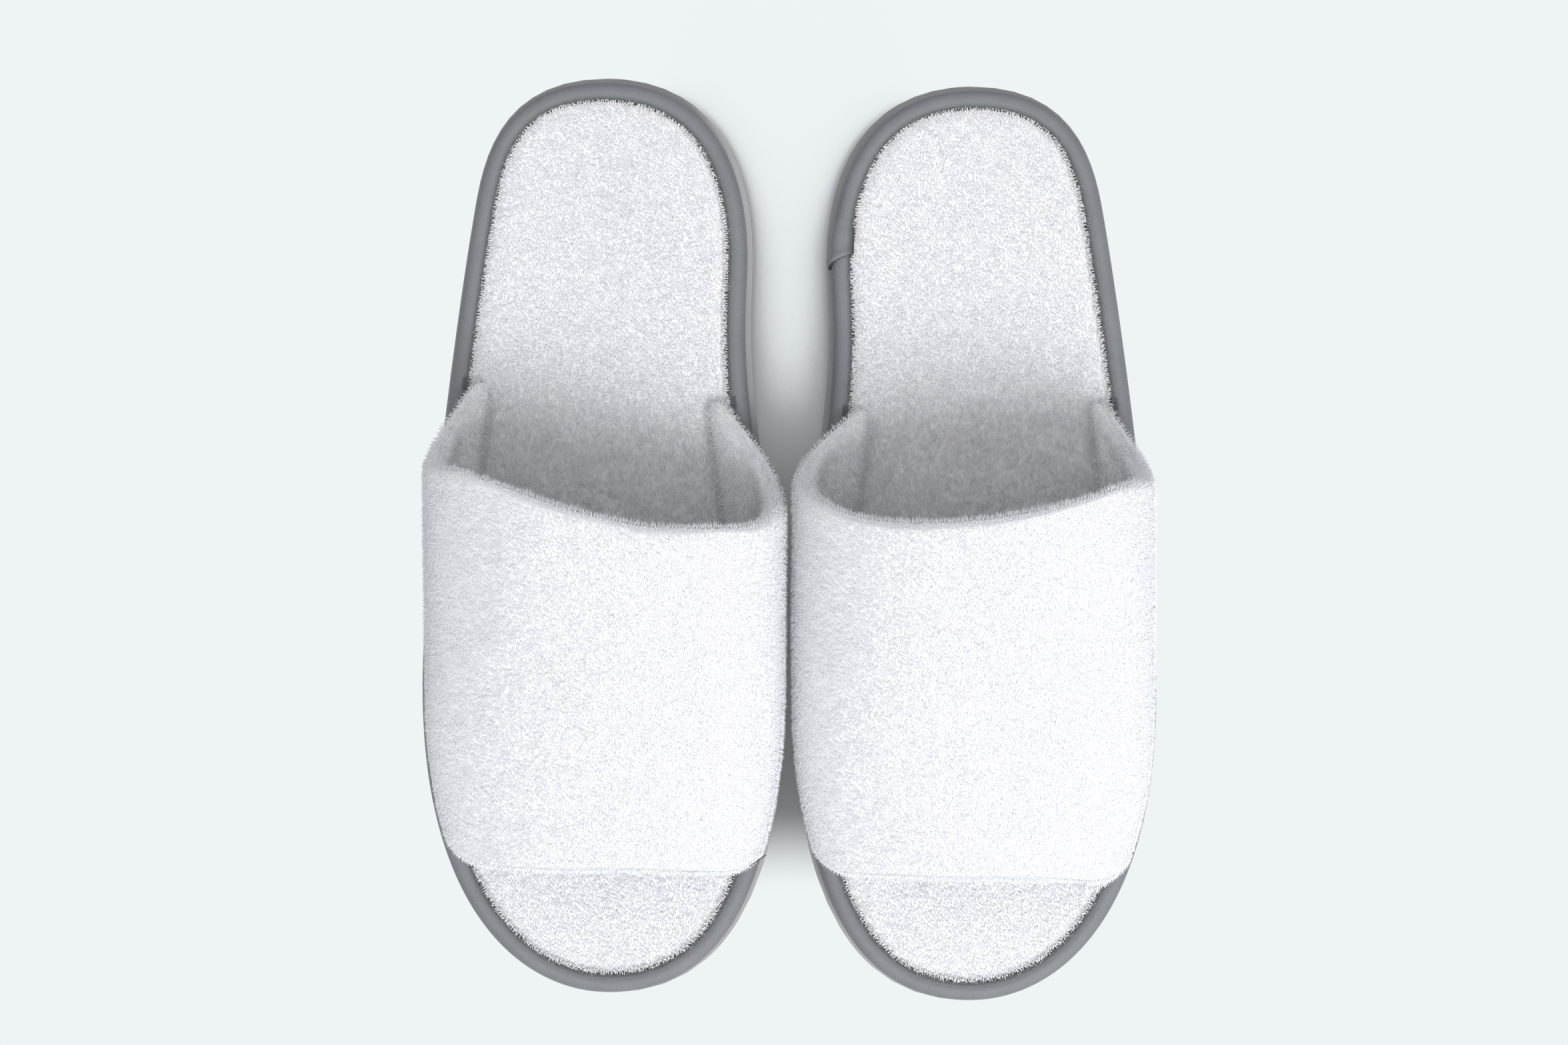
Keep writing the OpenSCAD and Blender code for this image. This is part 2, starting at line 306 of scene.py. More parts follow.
def subdivided(made, levels, keep=()):
    rounder = made.modifiers.new("Rounder", "SUBSURF")
    rounder.levels = rounder.render_levels = levels
    return baked(made, keep)


def eased(share):
    """A share from 0 to 1, made to start and end gently."""
    return share * share * (3 - 2 * share)


def roughly(points, scale, seed):
    """Smooth noise from -1 to 1 at each point, with features about scale across."""
    shift = Vector((seed * 7.3, seed * 1.7, seed * 4.1))
    return np.array([noise.noise(Vector(p) / scale + shift) for p in points])


def finish_piece(made, foot, stands_for=()):
    """Hands a finished piece to the frame."""
    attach(made, foot.body)
    if stands_for:
        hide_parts(*[foot.piece(n) for n in stands_for])


def swell(made, held, pressure, cap, frames=20):
    """Cloth under pressure rounds a padded piece. Held points stay, and no other point moves
    further than the cap."""
    rest = read_points(made.data)
    group = made.vertex_groups.new(name="held")
    group.add([int(i) for i in np.flatnonzero(held)], 1.0, "REPLACE")
    cloth = made.modifiers.new("Cloth", "CLOTH")
    cloth.settings.vertex_group_mass = group.name
    cloth.settings.quality = 6
    cloth.settings.mass = 0.2
    cloth.settings.tension_stiffness = cloth.settings.compression_stiffness = 12
    cloth.settings.bending_stiffness = 0.4
    cloth.settings.use_pressure = True
    cloth.settings.uniform_pressure_force = pressure
    cloth.settings.effector_weights.gravity = 0
    cloth.point_cache.frame_start, cloth.point_cache.frame_end = 1, frames
    scene = bpy.context.scene
    for number in range(1, frames + 1):
        scene.frame_set(number)
    graph = bpy.context.evaluated_depsgraph_get()
    moved = read_points(made.evaluated_get(graph).data) - rest
    made.modifiers.remove(cloth)
    made.vertex_groups.remove(group)
    scene.frame_set(1)
    length = np.maximum(np.linalg.norm(moved, axis=1), 1e-9)
    write_points(
        made.data, rest + moved * (cap * np.tanh(length / cap) / length)[:, None]
    )
    return made


# --- node trees -----------------------------------------------------------------------------


def add(tree, kind, inputs=None, **settings):
    """A node with its settings, and its inputs set to values or linked to sockets."""
    made = tree.nodes.new(kind)
    for name, value in settings.items():
        setattr(made, name, value)
    for key, value in (inputs or {}).items():
        if isinstance(value, bpy.types.NodeSocket):
            tree.links.new(value, made.inputs[key])
        else:
            made.inputs[key].default_value = value
    return made


def new_tree(name, kind, inputs, outputs):
    """A node group with named sockets, what it is given, and what it has to put out."""
    tree = bpy.data.node_groups.new(name, kind)
    for socket, socket_kind, value in inputs:
        made = tree.interface.new_socket(
            socket, in_out="INPUT", socket_type="NodeSocket" + socket_kind
        )
        if value is not None:
            made.default_value = value
    for socket, socket_kind in outputs:
        tree.interface.new_socket(
            socket, in_out="OUTPUT", socket_type="NodeSocket" + socket_kind
        )
    given = tree.nodes.new("NodeGroupInput").outputs
    return tree, given, tree.nodes.new("NodeGroupOutput").inputs


def grow(made, tree, values):
    """Puts a Geometry Nodes modifier on an object, with its inputs set by name."""
    modifier = made.modifiers.new(tree.name, "NODES")
    modifier.node_group = tree
    for item in tree.interface.items_tree:
        if item.item_type == "SOCKET" and item.in_out == "INPUT" and item.name in values:
            modifier[item.identifier] = values[item.name]
    return made


def maths(tree, operation, a, b=0.0):
    return add(tree, "ShaderNodeMath", {0: a, 1: b}, operation=operation).outputs[0]


def vectors(tree, operation, a, b=(0.0, 0.0, 0.0), scale=1.0):
    inputs = {0: a, "Scale": scale} if operation == "SCALE" else {0: a, 1: b}
    return add(tree, "ShaderNodeVectorMath", inputs, operation=operation).outputs[0]


def parts(tree, vector):
    return add(tree, "ShaderNodeSeparateXYZ", {0: vector}).outputs


def vector_of(tree, x, y, z):
    return add(tree, "ShaderNodeCombineXYZ", {"X": x, "Y": y, "Z": z}).outputs[0]


def stored_as(tree, name, kind="FLOAT_VECTOR"):
    return add(
        tree, "GeometryNodeInputNamedAttribute", {"Name": name}, data_type=kind
    ).outputs[0]


def store(tree, geometry, name, value, kind="FLOAT_VECTOR", domain="POINT"):
    return add(
        tree,
        "GeometryNodeStoreNamedAttribute",
        {"Geometry": geometry, "Name": name, "Value": value},
        data_type=kind,
        domain=domain,
    ).outputs[0]


def chance(tree, low, high, seed):
    """A random number between two, for each point."""
    return add(
        tree, "FunctionNodeRandomValue", {2: low, 3: high, "Seed": seed}, data_type="FLOAT"
    ).outputs[1]


def spun(tree, turn, angle):
    """A rotation after a turn about the shape's own z axis."""
    spin = add(
        tree, "FunctionNodeAxisAngleToRotation", {"Axis": (0.0, 0.0, 1.0), "Angle": angle}
    ).outputs[0]
    return add(
        tree,
        "FunctionNodeRotateRotation",
        {"Rotation": turn, "Rotate By": spin},
        rotation_space="LOCAL",
    ).outputs[0]


def planted(tree, points, shape, turn, size):
    """A real copy of a shape on each point."""
    copies = add(
        tree,
        "GeometryNodeInstanceOnPoints",
        {"Points": points, "Instance": shape, "Rotation": turn, "Scale": size},
    ).outputs[0]
    return add(tree, "GeometryNodeRealizeInstances", {"Geometry": copies}).outputs[0]


def put_out(tree, given, ends, geometry):
    """Ends a geometry tree with the finish that it was given."""
    done = add(
        tree, "GeometryNodeSetMaterial", {"Geometry": geometry, "Material": given["Finish"]}
    )
    tree.links.new(done.outputs[0], ends[0])
    return tree


LEAST_GAP = 0.72  # of the spacing, which any two strands keep between them
CROWD = 1.9  # strands that are tried for in a square as wide as the spacing
TAPER = 1.5  # how far a strand's thickest part lies below its middle
TUFT_PULL = 4.0  # how much more strands lean with their tuft than on their own
STRAND_LENGTHS = 0.7, 1.15  # shortest and longest, of the pile's length


@cache
def pile_tree():
    """Terry pile: short pointed strands on the faces of a mesh, combed along its "nap" and as
    long as its "grow" says."""
    tree, given, ends = new_tree(
        "Terry pile",
        "GeometryNodeTree",
        [
            ("Ground", "Geometry", None),
            ("Spacing", "Float", 0.8 * MM),
            ("Strand length", "Float", 2 * MM),
            ("Strand width", "Float", 0.4 * MM),
            ("Tuft size", "Float", 2.5 * MM),
            ("Unruliness", "Float", 0.5),
            ("Map step", "Vector", (1.0, 1.0, 0.0)),
            ("Seed", "Int", 0),
            ("Finish", "Material", None),
        ],
        [("Pile", "Geometry")],
    )
    square = maths(tree, "POWER", given["Spacing"], 2.0)
    sown = add(
        tree,
        "GeometryNodeDistributePointsOnFaces",
        {
            "Mesh": given["Ground"],
            "Distance Min": maths(tree, "MULTIPLY", given["Spacing"], LEAST_GAP),
            "Density Max": maths(tree, "DIVIDE", CROWD, square),
            "Seed": given["Seed"],
        },
        distribute_method="POISSON",
    ).outputs
    # One strand: a spindle with its lower point in the ground and its tip at 1
    spindle = add(
        tree, "GeometryNodeMeshUVSphere", {"Segments": 3, "Rings": 2, "Radius": 0.5}
    ).outputs["Mesh"]
    here = add(tree, "GeometryNodeInputPosition").outputs[0]
    split = parts(tree, here)
    rise = maths(tree, "POWER", maths(tree, "ADD", split["Z"], 0.5), TAPER)
    strand = add(
        tree,
        "GeometryNodeSetPosition",
        {"Geometry": spindle, "Position": vector_of(tree, split["X"], split["Y"], rise)},
    ).outputs[0]
    strand = store(tree, strand, "strand", here)
    # Which way each strand leans
    cloud = add(
        tree,
        "ShaderNodeTexNoise",
        {"Scale": maths(tree, "DIVIDE", 1.0, given["Tuft size"]), "Detail": 1.0},
        noise_dimensions="3D",
    ).outputs["Color"]
    cloud = vectors(tree, "SUBTRACT", cloud, (0.5, 0.5, 0.5))
    stray = add(
        tree,
        "FunctionNodeRandomValue",
        {0: (-0.5, -0.5, -0.5), 1: (0.5, 0.5, 0.5), "Seed": given["Seed"]},
        data_type="FLOAT_VECTOR",
    ).outputs[0]
    wild = vectors(tree, "ADD", vectors(tree, "SCALE", cloud, scale=TUFT_PULL), stray)
    wild = vectors(tree, "SCALE", wild, scale=given["Unruliness"])
    combed = vectors(tree, "ADD", stored_as(tree, "nap"), wild)
    lean = vectors(tree, "ADD", sown["Normal"], combed)
    turn = add(
        tree, "FunctionNodeAlignRotationToVector", {"Vector": lean}, axis="Z"
    ).outputs[0]
    turn = spun(tree, turn, chance(tree, 0.0, math.tau, 5))
    tall = maths(
        tree, "MULTIPLY", stored_as(tree, "grow", "FLOAT"), chance(tree, *STRAND_LENGTHS, 11)
    )
    tall = maths(tree, "MULTIPLY", tall, given["Strand length"])
    size = vector_of(tree, given["Strand width"], given["Strand width"], tall)
    pile = planted(tree, sown["Points"], strand, turn, size)
    # Where each corner lies on the piece's map, and how high it is on its strand
    own = stored_as(tree, "strand")
    step = vectors(tree, "MULTIPLY", own, given["Map step"])
    spot = vectors(tree, "ADD", stored_as(tree, "root"), step)
    pile = store(tree, pile, "OFBake", spot, "FLOAT2", "CORNER")
    pile = store(tree, pile, "tip", parts(tree, own)["Z"], "FLOAT")
    pile = add(tree, "GeometryNodeSetShadeSmooth", {"Geometry": pile}).outputs[0]
    return put_out(tree, given, ends, pile)


@cache
def row_tree():
    """One shape repeated along a line: ribs of the tape, stitches and tack threads. The
    shape's x axis points out from the line and its y axis runs along it."""
    tree, given, ends = new_tree(
        "Row along an edge",
        "GeometryNodeTree",
        [
            ("Line", "Geometry", None),
            ("Shape", "Object", None),
            ("Spacing", "Float", 0.5 * MM),
            ("Size jitter", "Float", 0.1),
            ("Turn jitter", "Float", 0.0),
            ("Seed", "Int", 0),
            ("Finish", "Material", None),
        ],
        [("Row", "Geometry")],
    )
    line = add(tree, "GeometryNodeMeshToCurve", {"Mesh": given["Line"]}).outputs[0]
    beads = add(
        tree,
        "GeometryNodeResampleCurve",
        {"Curve": line, "Length": given["Spacing"]},
        mode="LENGTH",
    ).outputs[0]
    along = add(tree, "GeometryNodeInputTangent").outputs[0]
    out = vectors(tree, "CROSS_PRODUCT", along, (0.0, 0.0, 1.0))
    turn = add(
        tree, "FunctionNodeAlignRotationToVector", {"Vector": out}, axis="X", pivot_axis="Z"
    ).outputs[0]
    sway = chance(tree, -1.0, 1.0, given["Seed"])
    turn = spun(tree, turn, maths(tree, "MULTIPLY", sway, given["Turn jitter"]))
    least = maths(tree, "SUBTRACT", 1.0, given["Size jitter"])
    size = chance(tree, least, 1.0, given["Seed"])
    shape = add(tree, "GeometryNodeObjectInfo", {"Object": given["Shape"]}).outputs["Geometry"]
    return put_out(tree, given, ends, planted(tree, beads, shape, turn, size))


# --- finishes -------------------------------------------------------------------------------


def spread(tree, value, low, high, kind="SMOOTHSTEP"):
    """0 where a value is low, 1 where it is high, and a rise between them."""
    return add(
        tree,
        "ShaderNodeMapRange",
        {"Value": value, "From Min": low, "From Max": high},
        interpolation_type=kind,
    ).outputs["Result"]


def mixed(tree, share, a, b):
    return add(tree, "ShaderNodeMix", {0: share, 2: a, 3: b}, data_type="FLOAT").outputs[0]


def tinted(tree, share, a, b, blend="MIX"):
    return add(
        tree, "ShaderNodeMix", {0: share, 6: a, 7: b}, data_type="RGBA", blend_type=blend
    ).outputs[2]


@cache
def grain_group():
    """Two sizes of noise over a surface, as a colour between two and as a height."""
    tree, given, ends = new_tree(
        "Grain",
        "ShaderNodeTree",
        [
            ("Pale", "Color", (1, 1, 1, 1)),
            ("Deep", "Color", (0.5, 0.5, 0.5, 1)),
            ("Patch size", "Float", 10 * MM),
            ("Grain size", "Float", 1 * MM),
            ("Grain share", "Float", 0.5),
        ],
        [("Color", "Color"), ("Height", "Float")],
    )
    place = add(tree, "ShaderNodeTexCoord").outputs["Object"]
    patches, grains = (
        add(
            tree,
            "ShaderNodeTexNoise",
            {"Vector": place, "Scale": maths(tree, "DIVIDE", 1.0, given[size]), "Detail": 3.0},
        ).outputs[0]
        for size in ("Patch size", "Grain size")
    )
    share = spread(tree, mixed(tree, given["Grain share"], patches, grains), 0.3, 0.7)
    tree.links.new(tinted(tree, share, given["Deep"], given["Pale"]), ends["Color"])
    tree.links.new(grains, ends["Height"])
    return tree


def new_material(name, **plain):
    """A material with a Principled shader, and its constant values."""
    made = bpy.data.materials.new(name)
    made.use_nodes = True
    shader = made.node_tree.nodes["Principled BSDF"]
    for socket, value in plain.items():
        shader.inputs[socket.replace("_", " ")].default_value = value
    return made, made.node_tree, shader


def use_grain(tree, pale, deep, patch, grain, share):
    """The grain group placed in a material, with its sizes in millimetres."""
    values = {
        "Pale": (*pale, 1),
        "Deep": (*deep, 1),
        "Patch size": patch * MM,
        "Grain size": grain * MM,
        "Grain share": share,
    }
    return add(tree, "ShaderNodeGroup", values, node_tree=grain_group()).outputs


def coated(tree, shader, tint, height, depth):
    """Gives a shader its colour, and a relief of some depth in millimetres."""
    tree.links.new(tint, shader.inputs["Base Color"])
    bump = add(
        tree, "ShaderNodeBump", {"Height": height, "Distance": depth * MM, "Strength": 1.0}
    )
    tree.links.new(bump.outputs["Normal"], shader.inputs["Normal"])


def grained(name, pale, deep, patch, grain, share, depth, **plain):
    """A material whose colour and relief come from the grain group. The sizes of its patches
    and grain and its depth are in millimetres."""
    made, tree, shader = new_material(name, **plain)
    source = use_grain(tree, pale, deep, patch, grain, share)
    coated(tree, shader, source["Color"], source["Height"], depth)
    return made


@cache
def terry_pile():
    """Terry pile: painted shade darkens each strand towards its root, with faint patches where
    it lies another way."""
    pile = bpy.context.scene.slipper_pile
    made, tree, shader = new_material(
        "Terry pile", Roughness=0.9, Sheen_Weight=0.15, Sheen_Roughness=0.6
    )
    tip = pile.tip_color
    laid = (0.93 * tip[0], 0.97 * tip[1], 0.98 * tip[2])
    patches = use_grain(tree, tip, laid, 14, 1.2, 0.5)
    # Painted shade: the root colour low on each strand, fading into the tip colour by 0.7 of
    # its height.
    up = add(tree, "ShaderNodeAttribute", attribute_name="tip").outputs["Fac"]
    share = spread(tree, up, 0.0, 0.7, "LINEAR")
    tint = tinted(tree, share, (*pile.root_shade_and_patch_color, 1), patches["Color"])
    coated(tree, shader, tint, patches["Height"], 0.05)
    return made


@cache
def satin_tape():
    """Satin binding tape: painted shade low on its outer side, a painted highlight making it
    paler on its ribbed crown, and painted shade darkening it towards the crevice at its inner
    edge.
    """
    binding = bpy.context.scene.slipper_binding
    made, tree, shader = new_material(
        "Satin binding tape", Roughness=0.6, Sheen_Weight=0.04, Sheen_Roughness=0.5
    )
    fibres = use_grain(tree, (1.08, 1.08, 1.08), (0.9, 0.9, 0.9), 9, 0.35, 0.6)
    across = add(tree, "ShaderNodeAttribute", attribute_name="across").outputs["Fac"]
    ramp = add(tree, "ShaderNodeValToRGB", {"Fac": across})
    stops = ramp.color_ramp.elements
    crown = binding.crown_color
    # Painted shade: the tape's outer side is darker than its crown.
    stops[0].color = (*(0.86 * c for c in crown), 1)
    # Painted shade: the crevice along the inner edge goes nearly black.
    stops[1].position, stops[1].color = 0.92, (*binding.inner_crevice_shade, 1)
    # Painted highlight: a paler line along the crown.
    for position, share in ((0.42, 1.08), (0.66, 1.0)):
        stops.new(position).color = (*(share * c for c in crown), 1)
    tint = tinted(tree, 1.0, ramp.outputs["Color"], fibres["Color"], "MULTIPLY")
    coated(tree, shader, tint, fibres["Height"], 0.06)
    return made


@cache
def terry_ground():
    pile = bpy.context.scene.slipper_pile
    # The ground's patches run at random between the tip colour and the pile's painted root
    # shade.
    pale, deep = pile.tip_color, pile.root_shade_and_patch_color
    return grained(
        "Terry ground", pale, deep, 6, 0.7, 0.7, 0.3, Roughness=0.95, Sheen_Weight=0.2
    )


@cache
def thread():
    pale = bpy.context.scene.slipper_binding.thread_color
    deep = [0.7 * c for c in pale]
    return grained("Polyester thread", pale, deep, 3, 0.2, 0.6, 0.04, Roughness=0.6)


@cache
def loose_thread():
    pale, deep = (0.06, 0.062, 0.075), (0.025, 0.026, 0.035)
    return grained("Dark loose thread", pale, deep, 3, 0.2, 0.6, 0.04, Roughness=0.6)


@cache
def sole_foam():
    # Painted shade: the foam's colour is a mid grey, darker than the white foam itself, to
    # stand in for the shade on the sole's rim.
    pale = bpy.context.scene.slipper_sole.foam_tone_with_painted_shade
    deep = [0.88 * c for c in pale]
    return grained("Outsole foam", pale, deep, 16, 0.5, 0.45, 0.12, Roughness=0.62)


@cache
def cushion_foam():
    pale, deep = (0.86, 0.83, 0.72), (0.72, 0.68, 0.55)
    return grained("Cushion foam", pale, deep, 12, 0.8, 0.7, 0.4, Roughness=0.9)


@cache
def fibre_board():
    pale, deep = (0.42, 0.36, 0.28), (0.27, 0.22, 0.17)
    return grained("Grey fibre board", pale, deep, 5, 0.6, 0.6, 0.1, Roughness=0.85)


@cache
def dried_glue():
    pale, deep = (0.66, 0.56, 0.34), (0.47, 0.37, 0.19)
    return grained("Dried contact glue", pale, deep, 14, 1.5, 0.4, 0.2, Roughness=0.4)


# --- soles ----------------------------------------------------------------------------------


def welt_ring(foot):
    """The outsole's own outline at a few places between its corners, for a smooth side."""
    corner = foot.own(corners(foot.piece("outsole")))
    rim = corner[corner[:, 2] > SOLE_TOP - 0.1 * MM][:, :2]
    middle = rim.mean(0)
    rim = rim[np.argsort(np.arctan2(rim[:, 1] - middle[1], rim[:, 0] - middle[0]))]
    return Outline(rim, 0.0)


CREASE, FACET = math.radians(40), math.radians(35)  # edges that are softened, or stay sharp


def build_outsole(foot, edge_round):
    """The foam outsole: its CAD shape with a smooth side and softened edges."""
    name = foot.piece("outsole_foam")
    made = bpy.data.objects.new(name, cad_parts[foot.piece("outsole")].data.copy())
    made.data.name = name
    bpy.context.scene.collection.objects.link(made)
    ring = welt_ring(foot)
    bm = bmesh.new()
    bm.from_mesh(made.data)
    bmesh.ops.remove_doubles(bm, verts=bm.verts, dist=0.002 * MM)
    bmesh.ops.dissolve_limit(
        bm, angle_limit=math.radians(0.3), verts=bm.verts, edges=bm.edges
    )
    on_rim = lambda v: ring.distance(foot.own([v.co[:]])[:, :2])[0] < 0.3 * MM
    rim = {v for v in bm.verts if on_rim(v)}
    level_edges = [
        e
        for e in bm.edges
        if set(e.verts) <= rim and abs(e.verts[0].co.z - e.verts[1].co.z) < 0.1 * MM
    ]
    new = bmesh.ops.subdivide_edges(bm, edges=level_edges, cuts=3)["geom_inner"]
    for v in [g for g in new if isinstance(g, bmesh.types.BMVert)]:
        own = foot.own([v.co[:]])[0]
        near = ring.points[np.argmin(np.linalg.norm(ring.points - own[:2], axis=1))]
        v.co = foot.place([near[0], near[1], own[2]])
    bm.to_mesh(made.data)
    bm.free()
    softened = made.modifiers.new("Softened edges", "BEVEL")
    softened.width = edge_round
    softened.segments = 3
    softened.limit_method = "ANGLE"
    softened.angle_limit = CREASE
    softened.use_clamp_overlap = True
    baked(made)
    made.data.polygons.foreach_set("use_smooth", [True] * len(made.data.polygons))
    made.data.set_sharp_from_angle(angle=FACET)
    made.data.materials.clear()
    made.data.materials.append(sole_foam())
    finish_piece(made, foot, ["outsole"])


def sole_grid(inset, rows, columns):
    """Places over the sole, moved in from the edge: rows from toe to heel, columns from the
    outer side to the inner one. Both crowd towards the edge."""
    front = EDGE.points[:, 1].min() + inset
    back = EDGE.points[:, 1].max() - inset
    y = (front + back) / 2 - (back - front) / 2 * np.cos(np.linspace(0, math.pi, rows))
    tip = EDGE.points[EDGE.points[:, 1].argmin(), 0]
    heel = EDGE.points[EDGE.points[:, 1].argmax(), 0]
    p = EDGE.points - inset * EDGE.out
    # A line from the toe's tip to the heel's end parts the two sides
    split = tip + (heel - tip) * (p[:, 1] - front) / (back - front)
    sides = []
    for side in (-1, 1):
        half = p[(p[:, 0] - split) * side >= 0]
        half = half[np.argsort(half[:, 1])]
        sides.append(np.interp(y, half[:, 1], half[:, 0])[:, None])
    lo, hi = sides
    evenly = np.linspace(-1, 1, columns)
    across = 0.55 * np.sin(evenly * math.pi / 2) + 0.45 * evenly
    x = (lo + hi) / 2 + (hi - lo) / 2 * across[None, :]
    x[0], x[-1] = x[0].mean(), x[-1].mean()
    return np.stack([x.ravel(), np.repeat(y, columns)], 1)


def build_pad(foot, name, inset, rows, columns, top, bottom):
    """A closed pad over the sole. top gives the height at each place from its distance to the
    edge, and bottom is its flat underside."""
    xy = sole_grid(inset, rows, columns)
    above = np.column_stack([xy, top(xy, EDGE.distance(xy))])
    below = np.column_stack([xy, np.full(len(xy), bottom)])
    faces = grid_faces(rows, columns)
    under = grid_faces(rows, columns, first=len(xy))[:, ::-1]
    rim_columns = []
    for column, flip in ((0, False), (columns - 1, True)):
        i = np.arange(rows - 1) * columns + column
        wall = np.stack([i, i + columns, i + columns + len(xy), i + len(xy)], 1)
        rim_columns.append(wall[:, ::-1] if flip else wall)
    made = make_piece(
        foot.piece(name),
        np.vstack([above, below]),
        np.vstack([faces, under, *rim_columns]),
        foot,
    )
    return weld(made)


def build_foam(foot):
    """The cushion layer in the sole, with its cut edge a little rounded."""

    def top(xy, edge):
        near = np.clip((edge - TAPE_FILL) / (2 * MM), 0, 1)
        return FOAM_TOP - 0.5 * MM * (1 - near) ** 2

    made = build_pad(foot, "sole_cushion", TAPE_FILL, 60, 15, top, FOAM_BOTTOM)
    made.data.materials.append(cushion_foam())
    finish_piece(made, foot, ["insole_cushion"])


def build_core(foot):
    """The glue and the stiffening board keep their CAD shapes."""
    for name, finish in (("sole_adhesive", dried_glue), ("insole_board", fibre_board)):
        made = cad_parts[foot.piece(name)]
        while len(made.material_slots) < 1:
            made.data.materials.append(None)
        for slot in made.material_slots:
            slot.link = "OBJECT"
            slot.material = finish()


COVER_UNDER_TAPE = 4.6 * MM  # from the edge to the cover's own edge, hidden by the tape


def build_cover(foot):
    """The terry cover of the footbed, lightly dented, with its margin down under the tape."""
    pile = bpy.context.scene.slipper_pile
    middle = COVER_TOP - pile.sole_length

    def top(xy, edge):
        in_from_tape = edge - TAPE_WIDTH
        shoulder = eased(np.clip((in_from_tape + 1.2 * MM) / (5 * MM), 0, 1))
        low = TAPE_TOP - 1.6 * MM
        spots = np.column_stack([xy, np.zeros(len(xy))])
        dents = 0.35 * MM * roughly(spots, 34 * MM, foot.seed)
        dents += 0.12 * MM * roughly(spots, 11 * MM, foot.seed + 1)
        return low + (middle - low) * shoulder + dents * shoulder

    made = build_pad(
        foot, "footbed_terry", COVER_UNDER_TAPE, 130, 47, top, FOAM_TOP + 0.02 * MM
    )
    made.data.materials.append(terry_ground())
    finish_piece(made, foot, ["insole_cover"])
    return made


# --- binding --------------------------------------------------------------------------------


def tape_profile():
    """The tape's outer face across its width, as distances in from the edge and heights,
    from under the footbed to its inner edge on top."""
    middle = (SOLE_TOP + TAPE_TOP - 0.3 * MM) / 2
    half = middle - SOLE_TOP
    bulge = 1.8 * MM
    angles = np.radians([-90, -62, -34, -8, 18, 44, 68, 90])
    side = np.stack([bulge * (1 - np.cos(angles)), middle + half * np.sin(angles)], 1)
    top = [
        (0.39 * TAPE_WIDTH, TAPE_TOP - 0.06 * MM),
        (0.52 * TAPE_WIDTH, TAPE_TOP - 0.02 * MM),
        (0.68 * TAPE_WIDTH, TAPE_TOP - 0.1 * MM),
        (0.82 * TAPE_WIDTH, TAPE_TOP - 0.34 * MM),
        (0.93 * TAPE_WIDTH, TAPE_TOP - 0.66 * MM),
        (TAPE_WIDTH, TAPE_TOP - 1.05 * MM),
    ]
    return np.vstack([side, top])


def profile_normals(profile):
    """Directions out of the tape at each point of its profile, as inwards and up."""
    along = np.gradient(profile, axis=0)
    along /= np.linalg.norm(along, axis=1)[:, None]
    return np.stack([-along[:, 1], along[:, 0]], 1)


RIB_ROOT = 0.06 * MM  # how far a rib's feet go into the tape
RIB_SHARE = 0.8  # a rib's width, of the distance between ribs


def rib_shape(height, width):
    """One rib of the tape: a thin ridge that follows the tape's outer face over its crown."""
    profile = tape_profile()[2:11]
    out = profile_normals(tape_profile())[2:11]
    fade = np.array([0.2, 0.8, 1, 1, 1, 1, 0.9, 0.6, 0.15])
    points, across = [], []
    for (inset, z), (dx, dz), share in zip(profile, out, fade, strict=True):
        for lift, y in ((-RIB_ROOT, -width / 2), (height * share, 0), (-RIB_ROOT, width / 2)):
            points.append((-(inset + lift * dx), y, z + lift * dz))
            across.append(inset / TAPE_WIDTH)
    rows = len(profile)
    faces = grid_faces(rows, 3, closed_columns=True).tolist()
    faces += [[2, 1, 0], [3 * rows - 3, 3 * rows - 2, 3 * rows - 1]]
    made = make_piece("rib_shape", points, faces)
    weld(made)
    set_attribute(made.data, "across", "FLOAT", "POINT", across)
    return made


def edge_line(foot, name, inset, z, first=0.0, last=None, count=900):
    """A line of vertices along the edge, counterclockwise from above on either foot."""
    closed = last is None
    place = EDGE.evenly(count) if closed else np.linspace(first, last, count)
    points = np.column_stack([EDGE.at(place, inset), np.full(count, z)])
    points = foot.place(points)
    if foot.hand < 0:
        points = points[::-1]
    mesh = bpy.data.meshes.new(name)
    links = [(i, i + 1) for i in range(count - 1)] + ([(count - 1, 0)] if closed else [])
    mesh.from_pydata(points.tolist(), links, [])
    made = bpy.data.objects.new(name, mesh)
    bpy.context.scene.collection.objects.link(made)
    return made


def repeat_along(line, foot, shape, spacing, finish, sizes=0.0, turns=0.0, keep=()):
    """Turns a line into a row of shapes, whose sizes and turns may vary."""
    values = {
        "Shape": shape,
        "Spacing": spacing,
        "Size jitter": sizes,
        "Turn jitter": turns,
        "Seed": foot.seed,
        "Finish": finish,
    }
    return baked(grow(line, row_tree(), values), keep)


def discard(*made):
    for one in made:
        data = one.data
        bpy.data.objects.remove(one)
        bpy.data.meshes.remove(data)


def joined(name, pieces):
    """Several pieces as one, in the first one's place."""
    bpy.ops.object.select_all(action="DESELECT")
    for one in pieces:
        one.select_set(True)
    bpy.context.view_layer.objects.active = pieces[0]
    bpy.ops.object.join()
    pieces[0].name = pieces[0].data.name = name
    return pieces[0]


TAPE_STATIONS = 460
RIPPLE_IN, RIPPLE_UP = 0.28 * MM, 0.1 * MM  # how far the tape's inner edge wavers


